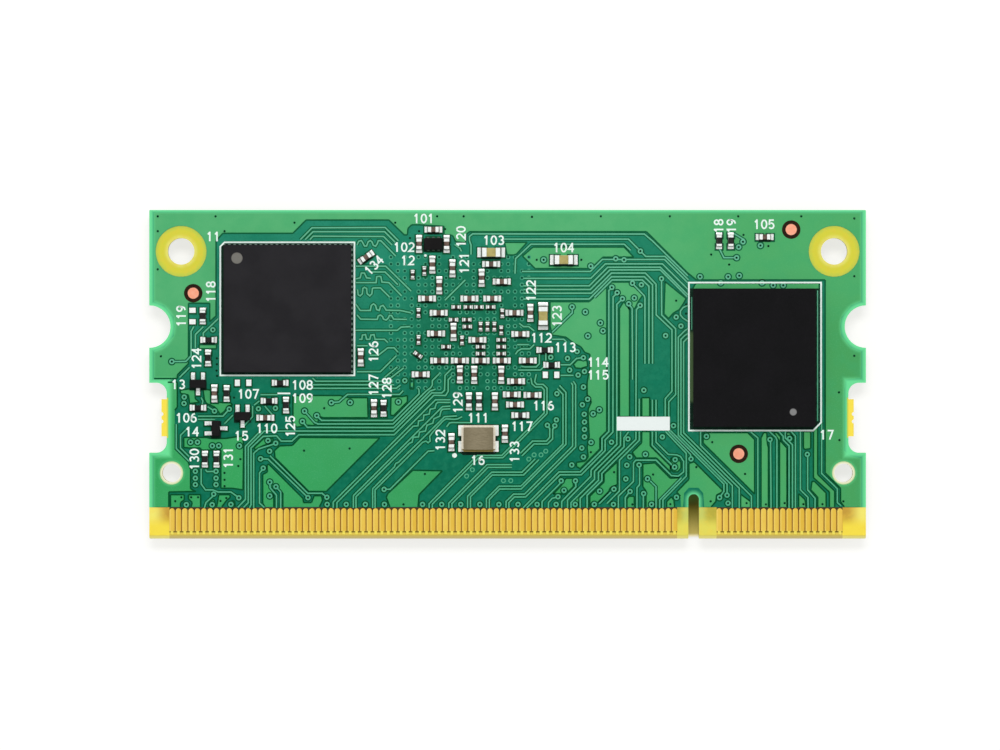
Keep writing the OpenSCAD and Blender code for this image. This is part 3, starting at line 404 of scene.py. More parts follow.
upper_areas_outlines = [
    [*right_rim, (31.4, -12.0), (31.4, -10.75), (29.95, -9.3), (29.95, 8.9), (17.8, 8.9), (17.0, 9.55),
     (13.85, 12.7), (13.1, 13.45), (-3.6, 13.45), (-3.9, 13.2), (-3.95, 12.4), (-4.9, 12.5),
     (-5.2, 13.1), (-6, 13.1), (-6, 13.95), (-8.3, 14.1), (-9.05, 14.1), (-9.4, 13.75), (-9.45, 13.15),
     (-9.75, 13.15), (-11.2, 14.55), (-19, 14.55), (-20.25, 13.3), (-26.85, 13.3), (-27.5, 12.6),
     (-27.5, 5.5), (-28.1, 4.95), (-28.1, 6.7), (-30.1, 6.7), (-30.1, 1), (-31.15, -0.05),
     (-31.15, -0.4), *left_rim],
    [(-32.05, -0.75), (-31.15, -0.75), (-31.15, -3.1), (-31.4, -3.4), (-31.4, -7.0), (-30.1, -8.3),
     (-29.9, -9.0), (-29.9, -10.8), (-29.4, -11.05), (-31.95, -11.1), (-31.95, -12.4), (-33.35, -12.4),
     *left_recess],
    [(2.4, 12.0), (11.0, 12.0), (11.9, 11.05), (9, 11.05), (7.85, 9.97), (2.6, 9.97), (1.4, 11.15)],
    [(-0.3, 12.45), (1.85, 12.45), (0.85, 11.35), (0.6, 11.25), (-0.05, 11.25)],
    [(4.0, 6.85), (7.7, 6.85), (9.35, 8.4), (9.35, -5.35), (8.7, -6.0), (8.7, -7.05), (7.2, -8.55),
     (6.85, -8.9), (6.5, -8.7), (6.5, -8.3), (7.3, -8.2), (7.6, -7.8), (7.5, -6.9), (7.6, -6.2),
     (7.7, -5.9), (7.6, -4.2), (7.6, -3.3), (7.9, -2.6), (7.5, -1.9), (7.5, -0.75), (7.75, 0.6),
     (7.75, 1.9), (7.3, 2.05), (6.9, 2.6), (6.3, 2.9), (5.5, 3.5), (4.2, 3.7), (4.0, 4.6)],
    [(6.2, 0.95), (6.6, 1.35), (7.5, 1.3), (7.55, 0.75), (6.9, 0.55), (6.4, 0.6)],
    [(9.65, 8.7), (11.5, 8.7), (12.2, 8.1), (12.75, 7.45), (12.35, 6.9), (12.0, 6.2), (11.5, 6.1),
     (11.0, 6.85), (10.6, 7.35), (10.05, 8.0)],
    [(10.55, 6.2), (10.9, 6.8), (11.3, 6.6), (11.5, 6.1), (11.5, -4), (10.55, -4)],
    [(14.85, 8.75), (16.85, 7.15), (16.6, 6.7), (16.2, 6.1), (15.6, 5.75), (15.2, 5.25), (14.75, 5.7)],
    [(12.65, -2.2), (13.4, -2.2), (13.4, -4), (12.65, -4)],
    [(12.65, -5.4), (13.45, -5.4), (13.45, -6.75), (15.35, -8.65), (15.35, -9.2), (14.05, -7.9),
     (12.1, -7.9), (11.75, -7.35), (12.65, -6.45)],
    [(15.4, -7.9), (16.05, -7.9), (16.35, -8.3), (16.35, -8.85), (16.05, -9.2), (15.6, -9.2),
     (15.4, -8.9)],
    [(12.75, -8.45), (13.9, -8.35), (15.35, -9.8), (16.35, -9.75), (14.3, -11.8), (14.3, -12.4),
     (13.05, -12.4), (13.05, -11.0), (12.75, -10.6)],
    [(9.1, -9.4), (10.35, -8.25), (10.35, -10.4), (9.65, -10.75), (9.55, -11.05), (8.5, -12.1),
     (7.75, -12.4), (7.75, -11.5), (9.1, -10.15)],
    [(11.25, -11.75), (11.45, -11.5), (11.95, -11.5), (11.95, -12.4), (11.25, -12.4)],
    [(17.1, -8.4), (17.6, -8.25), (20.25, -10.9), (20.25, -11.1), (19.7, -11.4), (19.65, -12.0),
     (19.2, -12.3), (18.55, -12.35), (18.45, -11.2), (18.0, -10.7), (17.1, -10.7), (16.65, -11.2),
     (16.55, -12.4), (16.35, -12.4), (16.3, -11.5), (15.95, -11.1), (17.1, -9.9)],
    [(15.0, -12.4), (15.0, -12.0), (15.45, -11.55), (15.7, -11.9), (15.75, -12.4)],
    [(18.45, -5.5), (22.65, -5.5), (23.3, -6.15), (23.3, -11.3), (18.45, -6.5)],
    [(23.9, -6.0), (24.15, -5.5), (24.45, -5.5), (24.5, -6.5), (24.6, -6.9), (24.6, -12.4),
     (23.9, -12.4)],
    [(25.1, -5.5), (25.4, -5.5), (25.75, -5.9), (25.75, -6.3), (26.35, -6.95), (26.35, -12.4),
     (25.65, -12.4), (25.65, -6.3)],
    [(26.3, -5.5), (26.6, -5.5), (26.95, -5.9), (26.9, -6.4), (26.35, -5.9)],
    [(27.9, -5.4), (28.6, -5.4), (28.6, -7.0), (28.0, -7.1), (27.9, -6.9)],
    [(28.85, -5.2), (29.25, -4.9), (29.25, -9.45), (30.85, -11.0), (30.85, -12.4), (30.35, -12.4),
     (30.35, -11.1), (28.85, -9.75)],
    [(28.7, -10.1), (28.95, -10.1), (30.05, -11.2), (30.05, -12.4), (29.25, -12.4), (29.25, -11.6),
     (28.6, -10.9)],
    [(27.45, -11.25), (28.05, -11.8), (28.15, -12.4), (27.45, -12.4)],
    [(-31.8, -11.35), (-30.5, -11.35), (-30.5, -11.85), (-30.85, -12.1), (-30.85, -12.45),
     (-31.8, -12.45)],
    [(-30.1, -11.35), (-28.95, -11.35), (-28.95, -12.45), (-29.85, -12.45), (-29.75, -12.1),
     (-30.1, -11.75)],
    [(-27.25, -11.35), (-26.2, -11.35), (-26.15, -11.6), (-26.55, -11.95), (-26.95, -12.4),
     (-27.45, -12.45), (-27.35, -12)],
    [(-26.3, -12.45), (-26.3, -12.15), (-25.95, -11.9), (-25.75, -11.95), (-25.7, -12.45)],
    [(-28.25, -12.45), (-28.05, -12), (-27.75, -11.75), (-27.6, -12), (-27.6, -12.45)],
    [(-30.55, -5.95), (-28.4, -5.95), (-28.0, -6.05), (-26.6, -6.05), (-25.0, -5.8), (-24.9, -6.6),
     (-24.95, -10.9), (-26.0, -10.75), (-27.05, -10.75), (-27.05, -7.15), (-28.9, -7.15),
     (-29.0, -6.95), (-30.05, -6.95), (-30.55, -6.9)],
    [(-23.95, -6.95), (-23.0, -6.05), (-22.1, -6.05), (-22.2, -6.45), (-23.0, -6.7), (-23.8, -7.1)],
    [(-19.6, -5.95), (-12.05, -6.0), (-17.1, -11.05), (-18.75, -11.05), (-21.95, -7.85), (-22.0, -7.2),
     (-21.5, -6.75), (-20.3, -6.7)],
    [(-22.7, -8.6), (-22.55, -8.45), (-19.3, -11.7), (-19.25, -12.1), (-18.5, -12.1), (-18.25, -11.45),
     (-17.55, -11.45), (-17.45, -11.9), (-17.75, -12.4), (-22.9, -12.4), (-23.1, -12.15),
     (-23.1, -9.45), (-22.65, -9.2)],
    [(-8.95, -9.05), (-6.15, -9.1), (-8.35, -11.35), (-8.45, -12.35), (-11.1, -12.4), (-11.45, -11.6),
     (-11.3, -11.25)],
    [(-20.25, -2.0), (-15.8, -2.0), (-15.05, -2.2), (-13.2, -2.2), (-13.15, -4.1), (-17.35, -4.1),
     (-17.75, -4.0), (-17.9, -4.5), (-18.3, -4.85), (-18.9, -4.8), (-19.9, -5.0), (-20.25, -4.6)],
    [(-11.0, -2.15), (-9.9, -2.1), (-9.45, -2.0), (-9.45, -2.6), (-10.75, -3.9), (-11.05, -3.85)],
    [(-9.2, -0.3), (-8.85, -0.3), (-8.85, -1.4), (-9.2, -1.4)],
    [(-30.9, -1.5), (-29.9, -1.35), (-29.5, -1.4), (-29.45, -2.3), (-29.05, -2.65), (-30, -2.75),
     (-30.1, -1.95), (-30.85, -1.8)],
    [(-28.75, -1.35), (-28.0, -1.5), (-28.0, -2.6), (-26.1, -2.7), (-25.95, -2.9), (-26.4, -3.0),
     (-26.7, -3.5), (-27.1, -3.8), (-27.3, -3.5), (-27.6, -3.1), (-28.4, -2.75), (-28.6, -2.4)],
    [(4.3, -11.3), (5.05, -10.5), (5.5, -9.8), (6.2, -9.8), (6.2, -10.6), (5.4, -11.35), (4.95, -11.25)],
    [(5.95, -12.4), (6.0, -12.0), (6.75, -11.4), (6.7, -12.4)],
    [(-29.1, 2.8), (-27.45, 2.8), (-27.45, 2.4), (-29.1, 2.4)],
    [(17.75, 8.6), (29.4, 8.6), (29.4, 7.9), (17.35, 7.9)],
    [(21.98, -12.4), (21.98, -11.3), (22.92, -12.0), (22.92, -12.4)],
]
upper_clearing_outlines = [
    [(-22.15, -10.9), (-21.75, -10.9), (-21.2, -11.2), (-21.2, -12.4), (-22.05, -12.4), (-22.05, -11.6)]]
AT_RIM, AT_SLOT, AT_HOLE, AT_CONTACTS = 0.75, 0.1, 0.02, MASK_EDGE + 0.25


def at_rim(a, b):
    """True for a stretch of an outline at the board's edge, at a hole or at the contacts."""
    if max(a[1], b[1]) < AT_CONTACTS:
        return True
    for x, y in (a, b):
        across = abs(x)
        edge = min(
            HALF_W - across, HALF_H - y, math.hypot(across - HALF_W, y - LATCH_Y) - LATCH_R,
            max(HALF_W - RECESS_D - across, abs(y - RECESS_Y) - RECESS_HALF),
            math.hypot(x - KEY_X, max(y - KEY_TOP + KEY_W / 2, 0)) - KEY_W / 2 - AT_SLOT)
        hole = min(
            abs(math.hypot(across - SCREW[0], y - SCREW[1]) - RING_R),
            abs(math.hypot(across - LOCATING[0], y - LOCATING[1]) - HOLE_R))
        if edge > AT_RIM and hole > AT_HOLE:
            return False
    return True


def etch(outlines, areas, gaps):
    for outline in outlines:
        outline = [(x, MASK_EDGE if y < AT_CONTACTS else y) for x, y in outline]
        areas.prism(outline)
        for a, b in zip(outline, outline[1:] + outline[:1]):
            if not at_rim(a, b):
                gaps.ribbon([a, b], GAP_W)


def area_paint(at):
    base = at.y.rise(-12.0, 9.0).blend(srgb(56, 160, 92), srgb(88, 180, 118))
    base = at.x.rise(8.0, 24.0).blend(base, srgb(80, 174, 106))
    base = (at.x.rise(-14.0, -24.0) * at.y.rise(0.0, -6.0)).blend(base, srgb(56, 166, 94))
    base = (at.x.rise(23.0, 30.0) * at.y.rise(9.0, 3.0) * 0.7).blend(base, srgb(70, 160, 90))
    base = (at.noise(0.7, 3.0).rise(0.35, 0.7) * 0.35).blend(base, srgb(66, 170, 108))
    base = (at.noise(9.0).rise(0.5, 0.8) * 0.25).blend(base, srgb(104, 192, 132))
    return lit_rim(at, base)


def gap_paint(at):
    base = at.y.rise(-3.0, 7.0).blend(srgb(0, 76, 38), srgb(18, 98, 62))
    return (at.noise(1.4, 3.0).rise(0.3, 0.7) * 0.5).blend(base, srgb(8, 90, 54))


area_green = finish(
    "mask_over_copper", area_paint, roughness=0.34, uneven=0.06, specular=0.06, grain=(4.0, 0.004))
gap_green = finish(
    "mask_in_gaps", gap_paint, roughness=0.4, uneven=0.06, specular=0.05, grain=(4.0, 0.004))
upper_areas, upper_clearings, upper_gaps = Relief(), Relief(), Relief()
etch(upper_areas_outlines, upper_areas, upper_gaps)
etch(upper_clearing_outlines, upper_clearings, upper_gaps)
upper_areas.on_upper("upper_copper_areas", AREA_RISE, area_green)
upper_clearings.on_upper("upper_clearings", CLEARING_RISE, teal_mask)

# Tracks: etched copper lines under the mask, a light line with an etched gap on each side.
# Many run in pairs, some wind or step to match their lengths, and most corners are cut at 45 degrees.
TRACK_W, TRACK_GAP = 0.13, 0.1
BY_BORDER_W, BY_FLASH_W = 0.07, 0.1
upper_routes = [
    [(-19.55, 12.7), (-18.45, 13.82), (-11.55, 13.85), (-10.3, 12.6)],
    [(-19.1, 12.7), (-18.35, 13.45), (-11.6, 13.45), (-10.6, 12.45)],
    [(-18.65, 12.7), (-18.35, 13.03), (-11.7, 13.0), (-10.9, 12.2)],
    [(-14.2, 12.2), (-14.05, 12.55), (-13.8, 12.62), (-13.65, 12.4), (-13.5, 12.1), (-13.3, 12.1),
     (-13.15, 12.5), (-12.95, 12.62), (-12.8, 12.5), (-12.65, 12.15), (-12.45, 12.08), (-12.3, 12.3),
     (-12.2, 12.6), (-11.95, 12.6), (-10.55, 11.15)],
    [(-13, 9.65), (-11.55, 9.65), (-10.35, 8.45)], [(-14.3, 10.2), (-11.5, 10.2), (-9.1, 7.85)],
    [(-14.3, 9), (-13.9, 9.1), (-13.8, 9.55), (-13.5, 9.55), (-13.3, 9.1), (-12.9, 9.05)],
    [(-14.3, 8.65), (-12.4, 8.65), (-12.35, 9.2), (-12.1, 9.25), (-11.95, 9.2), (-11.85, 8.7),
     (-11.2, 8.65), (-10, 7.4)],
    [(-14.15, 8), (-14.1, 7.5), (-13.9, 7.4), (-13.7, 7.6), (-13.65, 8.1), (-13.5, 8.2), (-13.3, 8.1),
     (-13.25, 7.6), (-13, 7.4), (-12.8, 7.6), (-12.75, 8.1), (-12.6, 8.15), (-12, 8.15), (-11.15, 7.3)],
    [(-14.3, 6.6), (-13.9, 6.02), (-12.95, 6.02), (-12.85, 6.5), (-12.65, 6.65), (-12.45, 6.5),
     (-12.35, 6.1), (-12.1, 6.02), (-12, 6.4), (-11.75, 6.5), (-11.6, 6.3), (-11.45, 6.05),
     (-10.1, 6.02), (-9.1, 5.8)],
    [(-14.2, 5.6), (-13.85, 5.2), (-12.3, 5.18), (-12.2, 5.5), (-12, 5.6), (-11.8, 5.45), (-11.7, 5.2),
     (-11.45, 5.12), (-11.25, 5.3), (-11.15, 5.55), (-10.95, 5.55), (-10.75, 5.2), (-9.5, 5.18)],
    [(-14.5, 4.15), (-10.4, 4.15), (-10.05, 4.45), (-9.2, 4.5)],
    [(-14, 3.3), (-13.75, 3.3), (-13.7, 3.7), (-13.4, 3.75), (-13.3, 3.3), (-13, 3.3), (-12.9, 3.7),
     (-12.6, 3.75), (-12.5, 3.3), (-11.6, 3.3), (-11.3, 3)],
    [(-14.2, 2.7), (-13.2, 2.7)],
    [(-13, 1.8), (-12.2, 1.8), (-11.3, 2.5), (-10.7, 2.5), (-10.35, 2.1)],
    [(-14.2, 0.25), (-12, 0.25), (-10.5, 1.75)], [(-11.6, -0.3), (-10.4, 0.7)],
    [(-11.1, -0.4), (-9.8, 0.6)], [(-18.4, -0.35), (-18.1, -0.65), (-10.9, -0.65)],
    [(-18.5, -0.98), (-10.7, -0.98)], [(-18.5, -1.32), (-10.5, -1.32), (-10.1, -1.0)],
    [(-16.62, -2.67), (-15.9, -2.6), (-15.1, -1.9), (-10.2, -1.9), (-9.85, -1.55)],
    [(-5.9, 7), (-4, 8.9)], [(-5, 12.25), (-4.5, 11.9), (-4.35, 11.6)],
    [(-3.45, 11.3), (-3.45, 12.2), (-3.6, 12.6), (-3.6, 13), (-3.3, 13.25), (12.9, 13.23),
     (13.7, 12.55), (17, 9.3)],
    [(-0.4, 12.75), (11.4, 12.75), (13.03, 11.12), (14.85, 11.12), (17.05, 8.92)],
    [(0.7, 9.5), (0.75, 10.9), (2.2, 12.27), (11, 12.27), (11.6, 11.7)],
    [(1.35, 9.7), (7.8, 9.7), (8.93, 10.83), (14.8, 10.83), (17, 8.63)],
    [(1.5, 9.05), (7.85, 9.05), (9.22, 10.42), (14.6, 10.42), (17, 8.02)],
    [(1.5, 8.35), (7.7, 8.35), (9.45, 10.1), (14.4, 10.1), (17, 7.5)],
    [(1.5, 8.0), (7.8, 8.0), (9.65, 9.85), (14.4, 9.85), (16.95, 7.3)],
    [(14.52, 9.0), (14.53, 5.6), (15.85, 4.3), (15.85, -1.9), (15.2, -2.6), (15.2, -4)],
    [(1.5, 7.65), (7.9, 7.65), (9.8, 9.55), (13.0, 9.55), (14.0, 8.5), (14.02, 5.6), (15.5, 4.2),
     (15.5, -1.6), (14.87, -2.3), (14.87, -4)],
    [(1.5, 7.1), (7.7, 7.1), (9.8, 9.2), (12.9, 9.2), (13.67, 8.45), (13.67, 1)],
    [(8.2, 7.25), (9.85, 8.9), (12.7, 8.9), (13.33, 8.3), (13.33, 1)],
    [(9.83, 8.17), (9.55, 7.9), (9.55, -5.4), (8.9, -6.05), (8.9, -7.15), (6.85, -9.2), (4.85, -9.2),
     (1.45, -12.6)],
    [(10.33, 7.65), (9.95, 7.3), (9.93, -5.45), (9.2, -6.2), (9.2, -7.2), (6.95, -9.48), (4.95, -9.48),
     (1.8, -12.6)],
    [(10.83, 7.12), (10.3, 6.6), (10.3, -6.6), (7.87, -9.03), (7.87, -9.6), (5.65, -11.85),
     (5.65, -12.6)],
    [(10.65, -5.4), (10.65, -6.7), (8.2, -9.15), (8.2, -9.9), (5.98, -12.1), (5.98, -12.6)],
    [(11.4, -5.45), (10.98, -6.0), (10.98, -6.84), (8.57, -9.25), (8.57, -10.0), (6.85, -11.7),
     (6.85, -12.6)],
    [(12.1, -5.4), (12.1, -6.14), (8.89, -9.35), (8.89, -10.03), (7.5, -11.4), (7.5, -12.6)],
    [(12.42, -5.4), (12.42, -6.23), (10.55, -8.1), (10.55, -11.0), (9.35, -12.2)],
    [(9.75, -11.1), (8.65, -12.2)], [(11.43, 6.65), (11.75, 6.2), (11.78, -0.5)],
    [(12.5, 6.5), (12.15, 6.1), (12.1, -4)], [(12.42, -2.3), (12.42, -4)], [(13.65, -2.4), (13.65, -4)],
    [(14.0, -2.4), (14.0, -4)], [(11.78, 8.57), (12.9, 7.4), (12.95, 7.2), (12.95, 1)],
    [(13.65, -5.4), (13.65, -6.7), (15.5, -8.55)],
    [(14.0, -5.4), (14.0, -6.4), (15.15, -7.55), (15.95, -7.6), (16.3, -7.75), (16.6, -8.2),
     (16.6, -9.2), (16.1, -9.6), (15.45, -9.55), (14.0, -8.1), (12.1, -8.1), (11.87, -8.35),
     (11.87, -10.1), (10.45, -11.5), (10.45, -12.6)],
    [(14.9, -5.4), (16.85, -7.45), (16.85, -9.6), (14.65, -11.85), (14.65, -12.6)],
    [(15.1, -5.3), (17.25, -7.55), (17.3, -7.9)], [(16.4, -9.75), (14.35, -11.85), (14.35, -12.6)],
    [(13.45, -10.05), (14.0, -10.6), (14.0, -12.6)], [(12.8, -11.4), (12.8, -12.6)],
    [(12.45, -8.8), (12.45, -10.4), (12.2, -10.7), (12.2, -12.6)],
    [(11.45, -11.15), (11.1, -11.6), (11.1, -12.6)],
    [(15.35, -5.3), (20.4, -10.35), (20.4, -11.05), (20.0, -11.6)],
    [(17.0, 4.3), (16.75, 4.15), (16.1, 3.5), (16.1, -5.75), (20.7, -10.35), (20.7, -11.4)],
    [(17.0, 3.85), (16.7, 3.65), (16.35, 3.3), (16.35, -5.65), (21.2, -10.5), (21.2, -12.6)],
    [(17.0, 3.45), (16.6, 3.05), (16.6, -5.5), (21.85, -10.75), (21.85, -12.6)],
    [(17.0, 6.5), (16.55, 6.3), (16.3, 5.95), (16.3, 5.6), (16.55, 5.3), (17.0, 5.0)],
    [(18.2, -5.4), (18.2, -6.7), (23.0, -11.5), (23.0, -12.6)],
    [(22.95, -5.45), (23.6, -6.0), (23.6, -12.6)], [(24.8, -6.3), (24.85, -12.6)],
    [(24.7, -5.4), (25.3, -5.95), (25.4, -6.2), (25.4, -12.6)],
    [(25.6, -5.4), (26.0, -5.85), (26.0, -6.2), (26.55, -6.75), (26.55, -12.6)],
    [(26.2, -5.4), (26.2, -6.0), (26.87, -6.65), (26.87, -12.6)],
    [(26.75, -5.4), (27.15, -5.85), (27.15, -12.6)],
    [(27.62, -5.4), (27.62, -10.9), (28.33, -11.6), (28.35, -12.6)],
    [(28.3, -7.6), (28.3, -10.9), (29.0, -11.7), (29.0, -12.6)],
    [(29.62, -4.5), (29.62, -9.35), (31.1, -10.8), (31.1, -12.1), (31.45, -12.4)],
    [(19.95, 11.9), (20.4, 11), (21.6, 11)], [(21.3, 13.3), (22.3, 12.7), (22.3, 12.5)],
    [(5, -0.1), (6.2, -0.1)], [(5, 0.9), (5.9, 0.9), (6.5, 1.5), (7.1, 1.57)],
    [(1, 0.4), (3.1, 0.4), (3.4, 0.7)], [(1.3, 0.75), (1.6, 0.7), (2.7, 0.7), (3, 1), (3, 1.9)],
    [(0.9, 2.8), (2, 2.8)], [(0.75, 1.9), (0.95, 2.2), (1.3, 2.4), (2.1, 2.4), (2.5, 2.8)],
    [(1.1, 4.8), (1.5, 4.5), (2, 4.5), (2.5, 4.1)], [(4.2, 3.95), (6.1, 5.8), (6.1, 6.3)],
    [(4.2, 3.3), (5.3, 3.3), (5.6, 3)], [(3.6, 2), (3.6, 1.3)],
    [(-16.45, -12.6), (-16.45, -12.05), (-6.8, -2.4), (-5.4, -2.4)],
    [(-16.1, -12.6), (-16.1, -12.1), (-8.9, -4.9), (-8.45, -4.85), (-8.4, -4.4), (-7.95, -4.3),
     (-7.9, -3.85), (-7.4, -3.75), (-7.3, -3.3), (-6.85, -3.2), (-6.75, -2.8), (-6.6, -2.65),
     (-5.4, -2.65)],
    [(-14.55, -12.6), (-14.55, -11.45), (-6.15, -3.05), (-5.4, -3.0)],
    [(-14.3, -12.6), (-14.3, -11.55), (-9.25, -6.5), (-9.0, -6.4), (-8.9, -5.95), (-8.4, -5.9),
     (-8.3, -5.45), (-7.75, -5.35), (-7.6, -4.8), (-7.05, -4.6), (-6.95, -4.2), (-6.4, -3.95),
     (-6.3, -3.5), (-6.15, -3.3), (-5.4, -3.25)],
    [(-12.73, -12.6), (-12.73, -10.8), (-10.7, -8.75), (-10.55, -8.4), (-10.3, -8.3), (-5.95, -4.0),
     (-4.8, -3.92)],
    [(-12.5, -12.6), (-12.5, -10.9), (-8.0, -6.4), (-7.7, -6.3), (-7.5, -6.45), (-7.3, -6.3),
     (-7.35, -5.85), (-7.1, -5.5), (-6.1, -4.4), (-5.8, -4.2), (-5.0, -4.25), (-4.7, -4.2), (-4.3, -4.0)],
    [(-11.65, -10.85), (-11.1, -10.85), (-7.5, -7.25), (-6.9, -7.2)],
    [(-5.75, -4.95), (-5.5, -4.6), (-5.3, -4.55), (-3.4, -4.55)],
    [(-18.0, -3.9), (-17.55, -4.35), (-10.85, -4.35), (-8.35, -1.85), (-8.35, -1.5), (-8.45, -1.3)],
    [(-19.15, -3.47), (-18.2, -4.55), (-17.9, -4.68), (-10.8, -4.68), (-7.7, -1.6), (-7.25, -1.25),
     (-7.1, -1.0), (-7.1, -0.6), (-6.4, 0.1)],
    [(-19.35, -4.45), (-18.9, -5.0), (-10.75, -5.02), (-7.3, -1.57), (-6.8, -1.4)],
    [(-24.9, -12.55), (-24.46, -12.1), (-24.46, -6.85), (-22.96, -5.35), (-10.75, -5.35),
     (-7.15, -1.75), (-6.2, -1.75), (-5.95, -1.5), (-5.9, -0.1), (-5.3, 0.5)],
    [(-24.35, -12.6), (-24.2, -12.3), (-24.2, -6.95), (-23.05, -5.85), (-21.8, -5.8), (-21.35, -6.3),
     (-20.35, -6.3), (-19.7, -5.7), (-10.7, -5.7), (-6.95, -1.98), (-5.85, -2.0), (-5.6, -1.6),
     (-5.6, -0.5), (-5.3, -0.2)],
    [(-25.45, -12.55), (-24.73, -11.8), (-24.73, -6.8), (-23.5, -5.55), (-23.2, -5.35)],
    [(-23.95, -12.6), (-23.95, -7.45), (-23.5, -7.05), (-22.9, -6.85), (-22.1, -6.6), (-21.87, -6.5)],
    [(-22.95, -12.55), (-23.4, -12.15), (-23.4, -9.3), (-23.05, -8.9)],
    [(-22.4, -7.7), (-18.85, -11.22), (-17.5, -11.22), (-17.05, -11.6)],
    [(-23.3, -7.97), (-22.6, -8.0), (-18.85, -11.6)],
    [(-22.43, -10.2), (-22.4, -10.7), (-21.8, -11.4), (-21.8, -12.6)],
    [(-21.85, -10.6), (-21.4, -11.1), (-21.4, -12.6)],
    [(-28.9, -8.9), (-28.9, -10.35), (-28.5, -10.9), (-27.8, -10.9), (-27.3, -11.1), (-26.1, -11.1),
     (-25.4, -11.6)],
    [(-28.5, -9.0), (-28.35, -9.18), (-27.6, -9.15)],
    [(-27.75, -11.45), (-28.45, -12.1), (-28.6, -12.6)],
    [(-31.25, -4.7), (-31.25, -7.0), (-30.05, -8.2)],
    [(-30.3, -5.2), (-30.85, -5.75), (-30.85, -6.95), (-30.05, -7.75)],
    [(-31.67, 1.2), (-30.35, 1.22), (-29.85, 1.75), (-29.85, 4.05), (-29.6, 4.5)],
    [(-30.95, -0.3), (-30.0, 0.65)], [(-28.7, 4.5), (-29.45, 3.75), (-29.45, 2.5)],
    [(-27.3, 5.25), (-28.7, 3.9), (-28.7, 3.5)], [(-27.65, -3.47), (-28.3, -3.05)],
    [(-26.25, -3.28), (-26.85, -3.95), (-29.2, -3.95)], [(-29.2, -4.25), (-27.6, -4.25)],
    [(-26.7, -4.65), (-25.9, -3.85)], [(-28.9, -2.2), (-28.75, -2.5), (-28.8, -2.9)],
    [(-23.9, -2.9), (-23.4, -2.5)], [(-22.9, -3.0), (-22.2, -3.8)], [(-23.3, -1.92), (-21.7, -1.92)],
    [(-24.05, -3.0), (-24.05, -4.0), (-24.9, -4.9)],
    [(-7.4, -12.6), (-7.4, -12.2), (-2.85, -7.65), (-0.55, -7.65), (3.45, -3.65), (3.45, -1.45),
     (3.2, -1.2), (2.65, -1.2), (2.3, -0.9), (2.2, -0.35)],
    [(-7.1, -12.6), (-7.1, -12.25), (-2.72, -7.87), (-0.45, -7.87), (3.72, -3.7), (3.72, -1.3),
     (3.35, -0.95), (2.75, -0.95), (2.55, -0.7), (2.7, 0)],
    [(-5.55, -12.6), (-5.55, -12.15), (-1.95, -8.52), (0.4, -8.52)],
    [(-5.25, -12.6), (-5.25, -12.2), (-1.85, -8.78), (0.4, -8.78)],
    [(-3.78, -12.6), (-3.78, -11.5), (-1.5, -9.23), (1.35, -9.23), (2.6, -7.98)],
    [(-3.5, -12.6), (-3.5, -11.55), (-1.45, -9.5), (1.5, -9.5), (2.95, -8.05)],
    [(-2, -12.6), (-2, -11.75), (-0.8, -10.55), (1.25, -10.55), (5.22, -6.58), (5.22, -1.9),
     (4.7, -1.35)],
    [(-1.72, -12.6), (-1.72, -11.8), (-0.75, -10.82), (1.28, -10.82), (5.5, -6.6), (5.5, -1.7),
     (4.9, -1.05)],
    [(-0.15, -12.6), (-0.15, -12.0), (0.55, -11.3), (1.6, -11.3), (6.13, -6.77), (6.13, -1.0),
     (6.0, -0.8)],
    [(0.12, -12.6), (0.12, -12.1), (0.65, -11.57), (1.7, -11.57), (6.42, -6.85), (6.42, -1.0),
     (6.2, -0.65)],
    [(1.2, -7.45), (2.35, -6.3), (3.65, -6.3), (3.97, -5.95), (3.97, -5.1), (3.75, -4.9)],
    [(1.35, -7.7), (2.5, -6.57), (3.75, -6.57), (4.25, -6.1), (4.25, -5.2), (4.45, -4.9)],
    [(3.25, -12.6), (3.25, -12.0), (4.9, -10.35), (5.05, -10.05)],
    [(3.85, -12.6), (3.85, -12.1), (4.2, -11.7), (4.75, -11.55)],
    [(5.1, -12.6), (5.1, -12.0), (6.45, -10.6), (6.4, -10.1)],
]
upper_tracks = Relief()


def lay(routes, tracks, gaps):
    for path in routes:
        tracks.ribbon(path, TRACK_W)
        gaps.ribbon(path, TRACK_W + 2 * TRACK_GAP)


lay(upper_routes, upper_tracks, upper_gaps)
upper_tracks.ribbon([(17.37, 7.3), (17.37, 4.2)], BY_BORDER_W)
upper_tracks.ribbon([(29.24, 7.9), (29.24, -4.4)], BY_FLASH_W)


def track_paint(at):
    base = at.y.rise(-8.0, 8.0).blend(srgb(80, 174, 134), srgb(102, 186, 150))
    base = (at.noise(0.8, 3.0).rise(0.3, 0.7) * 0.4).blend(base, srgb(98, 186, 144))
    return lit_rim(at, base)


track_green = finish(
    "mask_over_tracks", track_paint, roughness=0.32, uneven=0.06, specular=0.06, grain=(5.0, 0.004))

